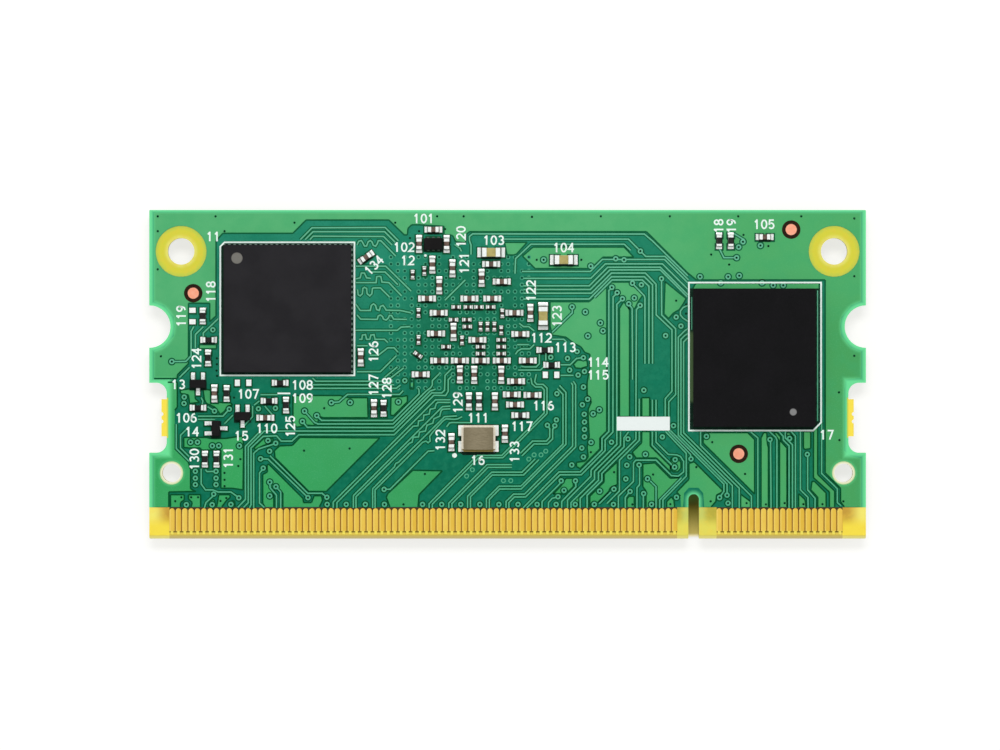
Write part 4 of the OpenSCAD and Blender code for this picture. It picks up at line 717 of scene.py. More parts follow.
# Vias: drilled and plated holes that join the copper layers, each in a copper ring under the mask.
# Those in an area are plain dark dots, the others sit in a ring with an etched gap around it.
VIA_D, VIA_RING_D, VIA_GAP_D = 0.22, 0.5, 0.74
FAINT_RING_D, FAINT_HOLE_D, FIELD_RING_D = 0.46, 0.28, 0.42
ROW_X, ROW_Y, ROW_STEP = -17.02, -12.27, 1.8
FIELD_X, FIELD_Y, FIELD_PITCH = -11, -1.3, 0.65
plain_vias = [
    (-33, 14.9), (-27.55, 14.9), (-33, 13.5), (-26.7, 13.5), (-33, 9.9), (-20.1, 14.3), (-10.6, 14.3),
    (-6.65, 14.9), (-4.15, 14.9), (-9.2, 12.85), (-8.35, 13.5), (-5.9, 13.7), (2.3, 14.85), (8.8, 14.9),
    (15.3, 14.9), (21.75, 14.9), (27.7, 14.9), (32.7, 14.7), (32.7, 9.25), (19.2, 11.3), (20.9, 10.35),
    (22.25, 13.15), (24.6, 12.1), (2.75, 10.8), (6.95, 10.8), (15.9, 6.95), (32.7, 1.75), (31.25, -1.7),
    (31.3, -6.2), (-32.7, 1.7), (-25.8, -2.2), (-17.3, -3.2), (-25.2, -8), (-25.4, -8.65),
    (-26.7, -9.3), (-26.7, -9.95), (-26.7, -10.55), (-19.2, -7.2), (-14.9, -7), (-7.8, -9.4),
    (19.3, -6.4), (22.4, -9.4), (17.8, -8.75), (10.05, -9.23), (13.72, -9.45), (-30.77, -11.6),
    (-31.35, -11.97), (-29.85, -11.6), (-29.2, -11.6), (-26.53, -11.67), (-27.08, -11.95),
    (7.85, -7.35), (-27.45, 0.35), (-27.4, -0.15), (-27.42, 0.95), (-27.42, 1.5), (16.85, 6.6),
    (16.83, 5.72), (24.37, -12.27), (29.7, -12.25), (27.9, -12.25), (15.35, -12.25), (-9.82, -12.27),
    (11.77, -12.27), (22.54, -12.15), (26.13, -12.15), (31.67, -11.98), (19.15, -11.98)]
ringed_vias = [
    (9.83, 8.2), (10.33, 7.7), (10.83, 7.12), (11.43, 6.65), (11.95, 7.2), (12.5, 6.5), (11.78, 8.6),
    (12.62, 8.45), (10.2, 10.9), (7.85, 10.2), (6.08, 6.35), (7.33, 5.88), (8.75, 4.85), (9, 4.1),
    (7.57, 3.62), (14.52, 9.02), (15.9, 5.4), (14.9, 3.65), (16.35, 4.55), (3.4, 10.8), (18.15, 9.2),
    (20.8, 9.2), (21.85, 9.3), (22.2, 12.5), (21.8, 12), (21.6, 11), (23.85, 12.15), (6.55, 2.15),
    (5.65, 1.5), (7.15, 1.57), (4.07, 1.6), (5.85, 0.4), (7.25, 0.27), (6.65, -0.07), (7.15, -1.2),
    (4.65, -1.83), (7.55, -2.35), (7.05, -2.87), (7.23, -3.77), (8.07, -3.72), (8.65, -3.35),
    (7.25, -4.5), (7.25, -5.2), (7.25, -5.9), (4.6, -4.3), (4.45, -4.85), (3.75, -4.8), (-30.5, -2.15),
    (-30.52, -2.75), (-27.65, -3.47), (-26.25, -3.28), (-23.5, -3.25), (-21.9, -3.2), (-19.15, -3.47),
    (-18, -3.9), (-19.35, -4.45), (-16.62, -2.67), (-14.85, -2.65), (-31.67, 1.2), (-29.9, -6.4),
    (-29.25, -6.4), (-27.85, -6.75), (-27.25, -6.75), (-25.3, -6.75), (-10.3, -2.6), (-22.6, -6.25),
    (-21.87, -6.5), (-22.45, -7.25), (-23.3, -7.97), (-23.05, -8.85), (-29.45, -9.15), (-29.45, -9.8),
    (-29.45, -10.4), (-27.5, -9.8), (-27.5, -10.4), (-27.5, -9.15), (-27.72, -11.3), (-30.3, -12.3),
    (-25.35, -11.65), (-27.87, -12.3), (-26.1, -12.27), (-22.43, -10.17), (-21.85, -10.6),
    (-22.43, -11.47), (-18.83, -11.63), (-11.65, -10.85), (7.15, -7.8), (7, -6.95), (7.87, -6.42),
    (6.05, -8.55), (9.8, -6.4), (11.35, -6.1), (11.52, -7.78), (13, -7.55), (11.25, -8.57),
    (12.4, -8.55), (11.15, -9.87), (13.2, -9.85), (11.55, -11.05), (12.83, -11.25), (10.03, -10.83),
    (8.68, -11.02), (5.32, -10.95), (4.75, -11.55), (5.05, -10.05), (6.4, -10.05), (15.8, -8.05),
    (15.75, -8.75), (14.6, -5.9), (15.93, -11.6), (17.3, -7.98), (18.75, -5.85), (24.75, -6.15),
    (26.6, -6.05), (28.27, -7.55), (20.7, -11.4), (20, -11.63), (12.85, -1.5), (-9.7, -0.6),
    (-17.05, -11.6), (-27.8, 4.2), (12.52, 11.62), (10.98, 10.8), (20.79, -12.15), (20.1, 8.62),
    (24.0, 8.62), (25.05, 8.4), (26.0, 8.4), (15.65, -4.85)]
ringed_vias += [(ROW_X + ROW_STEP * i, ROW_Y) for i in range(18) if i not in (4, 16)]
faint_vias = [
    (2.0, -8.0), (2.5, -7.6), (3.15, -7.6), (3.6, -7.25), (-3.33, -9.0), (-3.87, -9.6), (-0.4, -10.03),
    (0.3, -10.03)]
field_vias = [
    (FIELD_X + FIELD_PITCH * i, FIELD_Y + FIELD_PITCH * j) for i in range(21) for j in range(20)
    if (i * 7 + j * 5) % 11 not in (3, 8)]


def drill(plain, ringed, rings, gaps, holes):
    for x, y in plain:
        holes.disc(x, y, VIA_D)
    for x, y in ringed:
        gaps.disc(x, y, VIA_GAP_D, 18)
        rings.disc(x, y, VIA_RING_D, 18)
        holes.disc(x, y, VIA_D)


upper_rings, upper_holes = Relief(), Relief()
drill(plain_vias, ringed_vias, upper_rings, upper_gaps, upper_holes)
for x, y in faint_vias:
    upper_rings.ring(x, y, FAINT_RING_D, FAINT_HOLE_D, 16)


def hole_paint(at):
    return at.noise(5.0).rise(0.3, 0.7).blend(srgb(0, 44, 24), srgb(6, 62, 40))


def field_paint(at):
    column = (at.x - FIELD_X) / FIELD_PITCH + 0.5
    line = (at.y - FIELD_Y) / FIELD_PITCH + 0.5
    across = column.maths("FRACT", column) - 0.5
    along = line.maths("FRACT", line) - 0.5
    base = at.noise(1.0, 3.0).rise(0.3, 0.7).blend(srgb(52, 148, 114), srgb(84, 176, 140))
    return across.reach(along).rise(0.22, 0.14).blend(base, srgb(4, 76, 52))


field_rings = Relief()
for x, y in field_vias:
    field_rings.disc(x, y, FIELD_RING_D, 12)
field_green = finish("mask_over_field", field_paint, roughness=0.34, uneven=0.06, specular=0.06)
field_rings.on_upper("upper_field_vias", CLEARING_RISE, field_green)
hole_green = finish("mask_in_vias", hole_paint, roughness=0.5, uneven=0.05, specular=0.05)
upper_gaps.on_upper("upper_etched_gaps", GAP_RISE, gap_green)
upper_tracks.on_upper("upper_tracks", TRACK_RISE, track_green)
upper_rings.on_upper("upper_via_rings", RING_RISE, track_green)
upper_holes.on_upper("upper_vias", HOLE_RISE, hole_green)

# Lands and solder: tinned copper under each part, and the solder that reflow drew up its ends.
# The mask stops short of the lands, and the laminate in the opening is painted nearly black as shade.
# Near-black sheets round the lands and bodies, moved to where their shadows fall, are painted shadow.
LAND_GAP, LAND_GAP_SHADE = 0.13, -0.05
BESIDE_LAND, LAND_SHADE = 0.03, -0.03
BESIDE_BODY, BODY_SHADE = 0.09, -0.13
BESIDE_CRYSTAL, CRYSTAL_SHADE = 0.2, -0.12
LAND_DEPTH = 0.05


def islands(node):
    """The plan outline of each separate solid of a CAD node on the upper face, in millimetres."""
    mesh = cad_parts[node].data
    spots = [tuple(round(c / MM, 4) for c in v.co) for v in mesh.vertices]
    root = {s: s for s in spots}

    def top(s):
        while root[s] != s:
            root[s] = root[root[s]]
            s = root[s]
        return s

    for polygon in mesh.polygons:
        first, *rest = (spots[i] for i in polygon.vertices)
        for other in rest:
            root[top(first)] = top(other)
    groups = {}
    for s in sorted(root):
        groups.setdefault(top(s), []).append(s)
    upper = mask_top / MM - LAND_DEPTH
    return [hull(g) for _, g in sorted(groups.items()) if max(p[2] for p in g) > upper]


def hull(points):
    """The corners of the outline around points in plan, anticlockwise."""
    flat = sorted({p[:2] for p in points})
    sides = []
    for run in (flat, flat[::-1]):
        side = []
        for p in run:
            while len(side) > 1 and (
                    (side[-1][0] - side[-2][0]) * (p[1] - side[-2][1])
                    <= (side[-1][1] - side[-2][1]) * (p[0] - side[-2][0])):
                side.pop()
            side.append(p)
        sides.append(side[:-1])
    return sides[0] + sides[1]


def open_mask(node, openings, grow, shade):
    """Draws a sheet under each solid of a node, wider by grow and moved along y by shade, to where the
    solid's shadow falls, as painted shadow."""
    for outline in islands(node):
        wider = shifted(outline[-1:] + outline + outline[:1], -grow)[1:-1]
        openings.prism([(x, y + shade) for x, y in wider])


# Partly real and partly painted shadow: a dark gap round each land, moved down to where its shadow falls.
land_gap_shadows = Relief()
open_mask("upper_lands", land_gap_shadows, LAND_GAP, LAND_GAP_SHADE)
land_gap_shadows.on_upper("upper_land_gap_shadows", LAND_GAP_RISE, gap_green)
upper_shadow_sheet = Relief()
for node in ("upper_lands", "transistor_leads"):
    open_mask(node, upper_shadow_sheet, BESIDE_LAND, LAND_SHADE)
for node in ("small_capacitor_bodies", "tiny_capacitor_bodies", "bulk_capacitor_bodies", "bead_bodies",
             "resistor_bodies", "load_switch", "transistor_moulds"):
    open_mask(node, upper_shadow_sheet, BESIDE_BODY, BODY_SHADE)
open_mask("crystal_base", upper_shadow_sheet, BESIDE_CRYSTAL, CRYSTAL_SHADE)
# Painted shadow: dark sheets fill the gap between each large package and its printed border.
upper_shadow_sheet.prism([(-27.0, 0.0), (-14.55, 0.0), (-14.55, 12.35), (-26.7, 12.35), (-27.0, 12.05)])
upper_shadow_sheet.prism([(17.2, -5.2), (28.75, -5.2), (29.45, -4.5), (29.45, 8.1), (17.2, 8.1)])


def opening_paint(at):
    # Painted shadow: near black, with faint pale dots by the memory and dull olive copper in the flash's
    # shade.
    base = at.noise(3.0, 3.0).rise(0.3, 0.7).blend(srgb(4, 30, 20), srgb(12, 50, 34))
    rows, columns = (abs(v.maths("FRACT", v * 2.0) - 0.5).rise(0.3, 0.15) for v in (at.y, at.x))
    dots = (abs(at.x + 14.67).rise(0.08, 0.04) * rows).most(
        abs(at.y - 12.24).rise(0.08, 0.04) * at.x.rise(-14.4, -14.6) * columns)
    base = (dots * 0.6).blend(base, srgb(150, 176, 164))
    strip = at.x.rise(17.12, 17.2) * at.x.rise(17.62, 17.52)
    strip = strip * at.y.rise(-2.8, -2.4) * at.y.rise(4.2, 3.8)
    return strip.blend(base, srgb(74, 98, 62))


painted_shadow = finish(
    "painted_shadow", opening_paint, roughness=0.6, uneven=0.05, specular=0.1, grain=(6.0, 0.006))
upper_shadow_sheet.on_upper("upper_painted_shadows", OPENING_RISE, painted_shadow, "laminate")


def solder_paint(at):
    base = at.noise(5.0, 3.0).rise(0.35, 0.7).blend(srgb(240, 248, 243), srgb(252, 255, 252))
    base = (at.noise(16.0).rise(0.62, 0.75) * 0.35).blend(base, srgb(206, 205, 198))
    # Painted reflection: steep faces are painted dark grey for the dark board they face; faces that look
    # up or down are white.
    return at.upright().blend(srgb(92, 94, 84), base)


SILVER_LANDS = [
    (-29.72, 5.5, 0.9), (-24.95, -0.8, 0.9), (4.1, -0.05, 0.9), (-2.75, -6.08, 2.35),
    (-24.98, -3.95, 1.3), (-29.2, -1.0, 1.3), (-27.5, -5.1, 1.35)]


def land_paint(at):
    # The land flats are painted a dull green-grey, darker than tinned copper, so each part keeps a dark
    # rim; the bare lands in SILVER_LANDS are bright solder.
    dull = at.noise(5.0, 3.0).rise(0.35, 0.7).blend(srgb(58, 84, 68), srgb(92, 112, 96))
    bright, *others = (at.away(x, y).rise(r + 0.02, r - 0.02) for x, y, r in SILVER_LANDS)
    for other in others:
        bright = bright.most(other)
    return bright.blend(dull, solder_paint(at))


dull_land = finish("dull_green_land", land_paint, roughness=0.4, uneven=0.08, metallic=0.1, grain=(9.0, 0.008))
dress("upper_lands", dull_land)
dress("lower_lands", dull_land)
reflowed = finish(
    "reflowed_solder", solder_paint, roughness=0.3, uneven=0.08, metallic=0.08, grain=(7.0, 0.012))
tinned = finish("tin_plate", solder_paint, roughness=0.36, uneven=0.1, metallic=0.05, grain=(9.0, 0.008))
for node in ("memory_balls", "flash_balls", "processor_balls"):
    dress(node, reflowed)
for node in ("upper_solder_fillets", "lower_solder_fillets"):
    dress(node, reflowed, round_edges=0.08)

# Edge contacts: gold over nickel on copper strips, plated at the edge and worn a little by insertion.
# Neighbours differ slightly in tone, and each has rounded shoulders that catch the light.
# A painted highlight lightens the left side of each contact, and painted shade darkens its right side.
CONTACT_PITCH, FIRST_CONTACT = 0.6, -31.65


def gold_paint(at):
    step = (at.x - FIRST_CONTACT) / CONTACT_PITCH + 0.5
    across = step.maths("FRACT", step)
    base = at.cell(step).blend(srgb(240, 193, 58), srgb(254, 216, 92))
    base = (at.noise(1.2, 3.0).rise(0.4, 0.75) * 0.5).blend(base, srgb(248, 202, 78))
    # Painted highlight on the left of each contact, painted shade on its right.
    base = (across.rise(0.4, 0.24) * 0.6).blend(base, srgb(255, 226, 112))
    base = (across.rise(0.7, 0.84) * 0.35).blend(base, srgb(224, 176, 58))
    base = (at.noise(14.0).rise(0.55, 0.8) * 0.3).blend(base, srgb(222, 168, 44))
    return at.y.rise(-14.72, -14.85).blend(base, srgb(255, 238, 98))


gold = finish(
    "gold_plate", gold_paint, roughness=0.32, uneven=0.08, metallic=0.25, specular=0.4,
    grain=(6.0, 0.005))
dress("upper_contacts", gold, round_edges=0.04)
dress("lower_contacts", gold, round_edges=0.04)

# Alignment marks: bare copper dots with a clear finish, which the placing machine looks for.
# Each lies in a ring of bare laminate that looks dark beside it.
FIDUCIALS = [(-29.65, 7.65), (26.75, 13.65), (21.8, -7.5)]
FIDUCIAL_D, FIDUCIAL_RING_D = 1.05, 1.75


def copper_paint(at):
    base = at.noise(3.0, 3.0).rise(0.35, 0.7).blend(srgb(255, 164, 130), srgb(255, 176, 144))
    return (at.noise(11.0).rise(0.55, 0.8) * 0.5).blend(base, srgb(240, 148, 112))


def bare_ring_paint(at):
    return at.noise(4.0, 3.0).rise(0.35, 0.7).blend(srgb(34, 18, 8), srgb(50, 30, 12))


dress("fiducial_marks", finish(
    "bare_copper", copper_paint, roughness=0.36, uneven=0.08, metallic=0.25, grain=(8.0, 0.005)))
bare_rings = Relief()
for x, y in FIDUCIALS:
    bare_rings.ring(x, y, FIDUCIAL_RING_D, FIDUCIAL_D)
bare_ring = finish(
    "bare_ring", bare_ring_paint, roughness=0.6, uneven=0.05, specular=0.1, grain=(6.0, 0.006))
bare_rings.on_upper("fiducial_rings", OPENING_RISE, bare_ring, "laminate")

# Memory and flash packages: silicon in black mould compound on a dark substrate, soldered by balls.
# The mould has a fine matt grain, and a shallow round mark shows corner one.


def mould_paint(dark, light, mark=None):
    def paint(at):
        base = at.noise(0.35, 3.0).rise(0.3, 0.7).blend(dark, light)
        base = (at.noise(22.0, 2.0).rise(0.58, 0.75) * 0.35).blend(base, srgb(54, 53, 56))
        if mark:
            x, y, d, shade = mark
            base = at.away(x, y).rise(d / 2 + 0.04, d / 2 - 0.04).blend(base, shade)
        return base
    return paint


def mould(name, dark, light, mark=None):
    return finish(
        name, mould_paint(dark, light, mark), roughness=0.62, uneven=0.08, specular=0.1,
        grain=(18.0, 0.006))


def mottled(dark, light, scale):
    def paint(at):
        return at.noise(scale, 3.0).rise(0.3, 0.7).blend(dark, light)
    return paint


substrate = finish(
    "package_substrate", mottled(srgb(30, 42, 24), srgb(48, 62, 34), 3.0),
    roughness=0.5, uneven=0.06, specular=0.3, grain=(8.0, 0.004))
dress("memory_mould", mould(
    "memory_mould", srgb(32, 31, 34), srgb(38, 37, 40), (-25.5, 10.95, 1.05, srgb(120, 118, 112))),
    round_edges=0.05)
dress("flash_mould", mould(
    "flash_mould", srgb(8, 8, 10), srgb(13, 12, 15), (26.9, -3.55, 0.65, srgb(134, 134, 134))),
    round_edges=0.05)
for node in ("memory_substrate", "flash_substrate", "processor_substrate"):
    dress(node, substrate)

# Processor under the board: a nickel-plated lid over the die, on its own substrate.
# The lid is stamped, with a flange glued down all round and a raised middle brushed one way.


def lid_paint(at):
    drawn = at.noise(1.0, 3.0, (0.6, 14.0, 1.0))
    base = drawn.rise(0.3, 0.7).blend(srgb(196, 196, 192), srgb(220, 219, 214))
    return (at.noise(0.8, 3.0).rise(0.5, 0.75) * 0.4).blend(base, srgb(182, 181, 176))


dress("processor_lid", finish(
    "nickel_lid", lid_paint, roughness=0.36, uneven=0.08, metallic=0.85, grain=(5.0, 0.004)),
    round_edges=0.08)
dress("processor_die", finish(
    "ground_silicon", mottled(srgb(96, 98, 106), srgb(120, 122, 130), 2.0), roughness=0.25, uneven=0.05))
dress("processor_paste", finish(
    "thermal_paste", mottled(srgb(200, 200, 204), srgb(222, 222, 226), 3.0), roughness=0.7, uneven=0.05,
    grain=(4.0, 0.02)))

# Crystal: a metal lid seam-welded to a ceramic base, on four lands.
# The lid is a warm rolled grey with faint lengthwise lines, darker towards its left and right sides,
# and the base's lower side is painted olive, a painted reflection of the dark board.


def crystal_paint(at):
    rolled = at.noise(1.0, 3.0, (2.0, 8.0, 1.0))
    base = rolled.rise(0.2, 0.8).blend(srgb(132, 121, 94), srgb(150, 139, 111))
    base = (abs(at.x + 2.75).rise(0.4, 1.3) * 0.6).blend(base, srgb(120, 110, 82))
    return (at.noise(6.0, 3.0).rise(0.5, 0.75) * 0.4).blend(base, srgb(112, 101, 74))


def ceramic_paint(at):
    base = at.noise(4.0, 3.0).rise(0.3, 0.7).blend(srgb(222, 212, 188), srgb(240, 232, 212))
    # Painted reflection: the base's lower side is painted olive.
    return at.y.rise(-7.0, -7.08).blend(base, srgb(126, 110, 42))


dress("crystal_lid", finish(
    "crystal_lid", crystal_paint, roughness=0.36, uneven=0.08, metallic=0.35, grain=(8.0, 0.006)),
    round_edges=0.06)
dress("crystal_base", finish(
    "cream_ceramic", ceramic_paint, roughness=0.5, uneven=0.06, grain=(8.0, 0.006)))

# Load switch, transistors and power converters: small chips in black mould on tinned leads or lands.
# Their moulds have the same matt finish as those of the large packages.
small_mould = mould("small_mould", srgb(15, 14, 14), srgb(24, 23, 23))
for node in ("load_switch", "transistor_moulds", "converter_moulds"):
    dress(node, small_mould, round_edges=0.04)


def lead_paint(at):
    base = at.noise(6.0, 3.0).rise(0.35, 0.7).blend(srgb(228, 234, 230), srgb(250, 253, 250))
    # Painted reflection: the leads' steep faces are painted grey.
    return at.upright().blend(srgb(150, 153, 146), base)


dress("transistor_leads", finish(
    "tinned_leads", lead_paint, roughness=0.36, uneven=0.1, metallic=0.05, grain=(9.0, 0.008)),
    round_edges=0.02)

# Chip capacitors, beads and resistors: fired ceramic bodies with a tinned metal cap on each end.
# Small capacitors are brown, large ones tan, beads dark grey, and resistors black on white alumina.


def fired(name, dark, light, fleck, roughness=0.45, edge=None):
    def paint(at):
        base = at.noise(2.6, 3.0).rise(0.3, 0.7).blend(dark, light)
        base = (at.noise(18.0).rise(0.58, 0.75) * 0.4).blend(base, fleck)
        return at.upright().blend(edge, base) if edge else base
    return finish(name, paint, roughness=roughness, uneven=0.06, specular=0.35, grain=(12.0, 0.006))


dress("small_capacitor_bodies", fired(
    "brown_ceramic", srgb(84, 64, 54), srgb(118, 96, 82), srgb(140, 120, 104)), round_edges=0.03)
dress("tiny_capacitor_bodies", fired(
    "dark_ceramic", srgb(52, 38, 32), srgb(78, 60, 52), srgb(110, 92, 82)), round_edges=0.02)
# Painted highlight: the large capacitors' walls and rounded edges are painted pale cream.
dress("bulk_capacitor_bodies", fired(
    "tan_ceramic", srgb(168, 154, 88), srgb(184, 172, 102), srgb(200, 188, 124),
    edge=srgb(232, 222, 178)),
    round_edges=0.08)
dress("bead_bodies", fired("ferrite", srgb(40, 38, 37), srgb(58, 55, 53), srgb(80, 77, 74)),
    round_edges=0.03)
dress("resistor_bodies", fired(
    "white_alumina", srgb(222, 220, 210), srgb(238, 236, 228), srgb(206, 204, 194)), round_edges=0.02)
dress("resistor_coats", fired("black_coat", srgb(15, 13, 11), srgb(24, 22, 19), srgb(40, 38, 34), 0.3))
for kind in ("small_capacitor", "tiny_capacitor", "bulk_capacitor", "bead", "resistor"):
    dress(kind + "_ends", tinned, round_edges=0.07)

# Power inductors under the board: pressed iron powder round a coil, with a folded plate at each end.
# The pressing leaves a grainy grey skin.
dress("inductor_cores", fired(
    "pressed_powder", srgb(92, 92, 94), srgb(118, 118, 120), srgb(150, 150, 150), 0.6), round_edges=0.06)
dress("inductor_plates", tinned, round_edges=0.03)

# Legend: white epoxy ink screen-printed on the mask: package borders, corner dots and plain numbers.
# The numbers count the parts, and a white bar is left for writing on.
INK_W = 0.15
NUMBER_H, NUMBER_W, NUMBER_STEP = 0.78, 0.47, 0.68
DIGITS = {
    "0": [arc(0.5, 0.5, 0.5, 0.5, 90, 450)],
    "1": [[(0.5, 1.08), (0.5, -0.08)], [(0.12, 0.74), (0.5, 1.02)]],
    "2": [arc(0.5, 0.7, 0.48, 0.3, 160, -35, 10) + [(0, 0), (1.05, 0)]],
    "3": [arc(0.47, 0.75, 0.43, 0.25, 150, -90, 10), arc(0.47, 0.26, 0.5, 0.26, 90, -150, 10)],
    "4": [[(0.75, -0.08), (0.75, 1.08)], [(0.75, 1), (0, 0.3), (1.1, 0.3)]],
    "5": [[(0.98, 1), (0.15, 1), (0.1, 0.55)] + arc(0.48, 0.32, 0.5, 0.32, 120, -150, 10)],
    "6": [arc(0.5, 0.3, 0.48, 0.3, 160, 520) + [(0.08, 0.6), (0.3, 0.88), (0.75, 1)]],
    "7": [[(-0.05, 1), (1, 1), (0.35, -0.08)]],
    "8": [arc(0.5, 0.75, 0.42, 0.25, -90, 270), arc(0.5, 0.25, 0.5, 0.25, 90, 450)],
    "9": [arc(0.5, 0.7, 0.48, 0.3, -20, 340) + [(0.92, 0.4), (0.7, 0.12), (0.25, 0)]],
}


def number(ink, text, x, y, turn, mirrored):
    """Prints a plain number centred on a place, turned by that angle."""
    c, s = math.cos(math.radians(turn)), math.sin(math.radians(turn))
    width = (len(text) - 1) * NUMBER_STEP + NUMBER_W
    for i, digit in enumerate(text):
        for stroke in DIGITS[digit]:
            left = i * NUMBER_STEP - width / 2
            flat = [(left + px * NUMBER_W, (py - 0.5) * NUMBER_H) for px, py in stroke]
            if mirrored:
                flat = [(-px, py) for px, py in flat]
            ink.ribbon([(x + px * c - py * s, y + px * s + py * c) for px, py in flat], INK_W)


def print_numbers(ink, places, mirrored=False):
    """Counts up at the places: from 11 where two digits fit, from 101 where three do."""
    coming = {2: 11, 3: 101}
    for x, y, turn, digits in places:
        number(ink, str(coming[digits]), x, y, turn, mirrored)
        coming[digits] += 1


upper_ink = Relief()
upper_ink.ribbon([
    (-20, -0.1), (-14.45, -0.1), (-14.45, 12.45), (-26.7, 12.45), (-27.1, 12.05), (-27.1, -0.1),
    (-20, -0.1)], INK_W)
upper_ink.ribbon([
    (23, -5.3), (28.82, -5.3), (29.57, -4.55), (29.57, 8.65), (17.1, 8.65), (17.1, -5.3),
    (23, -5.3)], INK_W)
upper_ink.prism([(10.3, -5.3), (15.3, -5.3), (15.3, -4.0), (10.3, -4.0)])
upper_ink.disc(-5, -7.65, 0.45)
upper_ink.disc(-7.75, 11.2, 0.25)
upper_ink.ribbon([(-21.7, -1.8), (-20.5, -1.8)], INK_W)

# Places of the numbers: x, y, turn and how many digits.
upper_number_places = [
    (-27.75, 13, 0, 2), (-7.9, 14.7, 0, 3), (-9.75, 12, 0, 3), (-9.4, 10.75, 0, 2), (-1.3, 12.65, 0, 3),
    (5.3, 11.95, 0, 3), (24.2, 14.15, 0, 3), (-31.05, -0.95, 0, 2), (-30.3, -4.1, 0, 3),
    (-29.75, -5.4, 0, 2), (-24.45, -1.85, 0, 3), (-19.35, -1, 0, 3), (-19.35, -2.25, 0, 3),
    (-22.7, -5.1, 0, 3), (-25.1, -5.8, 0, 2), (-2.75, -4.1, 0, 3), (3.2, 3.45, 0, 3),
    (5.45, 2.55, 0, 3), (8.55, 1.15, 0, 3), (8.55, -0.05, 0, 3), (3.4, -2.95, 0, 3), (1.35, -4.9, 0, 3),
    (-2.8, -8.1, 0, 2), (30.1, -5.7, 0, 2), (-28, 7.8, 90, 3), (-30.8, 5.5, 90, 3), (-4.4, 13, 90, 3),
    (-4.1, 10.5, 90, 3), (2.2, 7.9, 90, 3), (4.65, 5.5, 90, 3), (19.9, 14, 90, 2), (21.1, 14, 90, 2),
    (-29.35, 1.5, 90, 3), (-20.5, -4.9, 90, 3), (-12.65, 2.15, 90, 3), (-12.65, -1, 90, 3),
    (-11.4, -1.3, 90, 3), (-4.7, -2.65, 90, 3), (-29.55, -8, 90, 3), (-26.35, -7.85, 90, 3),
    (-6.35, -6.2, 90, 3), (0.65, -7.3, 90, 3), (-12.6, 10.3, 45, 3)]
print_numbers(upper_ink, upper_number_places)


def ink_paint(at):
    base = at.noise(3.0, 3.0).rise(0.3, 0.7).blend(srgb(234, 252, 243), srgb(242, 255, 249))
    bar = abs(at.x - 12.8).rise(2.7, 2.6) * abs(at.y + 4.65).rise(0.8, 0.75)
    base = bar.blend(base, srgb(238, 246, 243))
    return (at.noise(16.0).rise(0.55, 0.8) * 0.35).blend(base, srgb(222, 238, 232))


white_ink = finish("white_ink", ink_paint, roughness=0.55, uneven=0.06, specular=0.3, grain=(10.0, 0.005))
upper_ink.on_upper("upper_legend", INK_RISE, white_ink, "legend_ink")

# Copper and legend of the lower face: supply areas under the inductors and converters, ground round
# the rim, and tracks that gather from the contacts to vias beside the processor.
lower_areas_outlines = [
    [*right_rim, (30.4, -10.95), (30.4, 8.3), (27.5, 11.2), (27.5, 12.5), (-27.5, 12.5), (-27.5, 11.2),
     (-30.4, 8.3), (-30.7, 8.0), (-30.7, -0.4), *left_rim],
    [(-32.05, -0.75), (-30.7, -0.75), (-30.7, -7.6), (-30.35, -8.2), (-30.35, -12.35), (-33.35, -12.35),
     *left_recess],
    [(8.9, 8.6), (16.2, 8.6), (16.2, 3.7), (8.9, 3.7)],
    [(16.6, 11.2), (23.6, 11.2), (23.6, 3.7), (16.6, 3.7)],
    [(8.9, 3.3), (16.2, 3.3), (16.2, -1.6), (8.9, -1.6)],
    [(16.6, 3.3), (23.6, 3.3), (23.6, -4.2), (16.6, -4.2)],
    [(9, -2.1), (16.1, -2.1), (16.1, -12.35), (9, -12.35)],
    [(6.9, 12.1), (15.7, 12.1), (15.7, 9.1), (6.9, 9.1)],
    [(-27.0, 12.1), (-14.6, 12.1), (-14.6, 10), (-27.0, 10)],
]
lower_routes, lower_vias, lower_plain = [], [], []
TRACK_END = -12.6
LEFT_TOP, LEFT_STEP, LEFT_VIAS = 9.2, 0.8, -14.2
FAN_FROM, FAN_TO, FAN_Y, FAN_SQUEEZE = -3.15, -3.5, -11.6, 0.62
for i in range(2, 17):
    x, y = -31.35 + CONTACT_PITCH * i, LEFT_TOP - LEFT_STEP * i
    lower_routes.append([(x, TRACK_END), (x, y - LEFT_STEP), (x + LEFT_STEP, y), (LEFT_VIAS, y)])
    lower_vias.append((LEFT_VIAS, y))
for i in range(39):
    x = -14.55 + CONTACT_PITCH * i
    end, y = FAN_TO + (x - FAN_FROM) * FAN_SQUEEZE, -6.4 + 0.42 * (i % 2)
    lower_routes.append([(x, TRACK_END), (x, FAN_Y), (end, FAN_Y + abs(end - x)), (end, y)])
    lower_vias.append((end, y))
for i in range(17):
    x, y = 20.25 + CONTACT_PITCH * i, -8.6 + 0.3 * i
    lower_routes.append([(x, TRACK_END), (x, y)])
    lower_vias.append((x, y))
for i in range(12):
    lower_plain += [(-29 + 5.3 * i, 14.7), (9.6 + 0.55 * i, -11.6), (9.6 + 0.55 * i, -2.7)]
for i in range(8):
    lower_plain += [(17.2 + 0.8 * i, 3.95), (17.2 + 0.8 * i, -1), (9.4 + 0.8 * i, 8.3)]
    lower_plain += [(7.5 + i, 11.7), (-25 + i, 11)]
lower_areas, lower_gaps, lower_tracks, lower_rings, lower_holes, lower_ink = (Relief() for _ in range(6))
etch(lower_areas_outlines, lower_areas, lower_gaps)
lay(lower_routes, lower_tracks, lower_gaps)
drill(lower_plain, lower_vias, lower_rings, lower_gaps, lower_holes)
lower_areas.on_lower("lower_copper_areas", AREA_RISE, area_green)
lower_gaps.on_lower("lower_etched_gaps", GAP_RISE, gap_green)
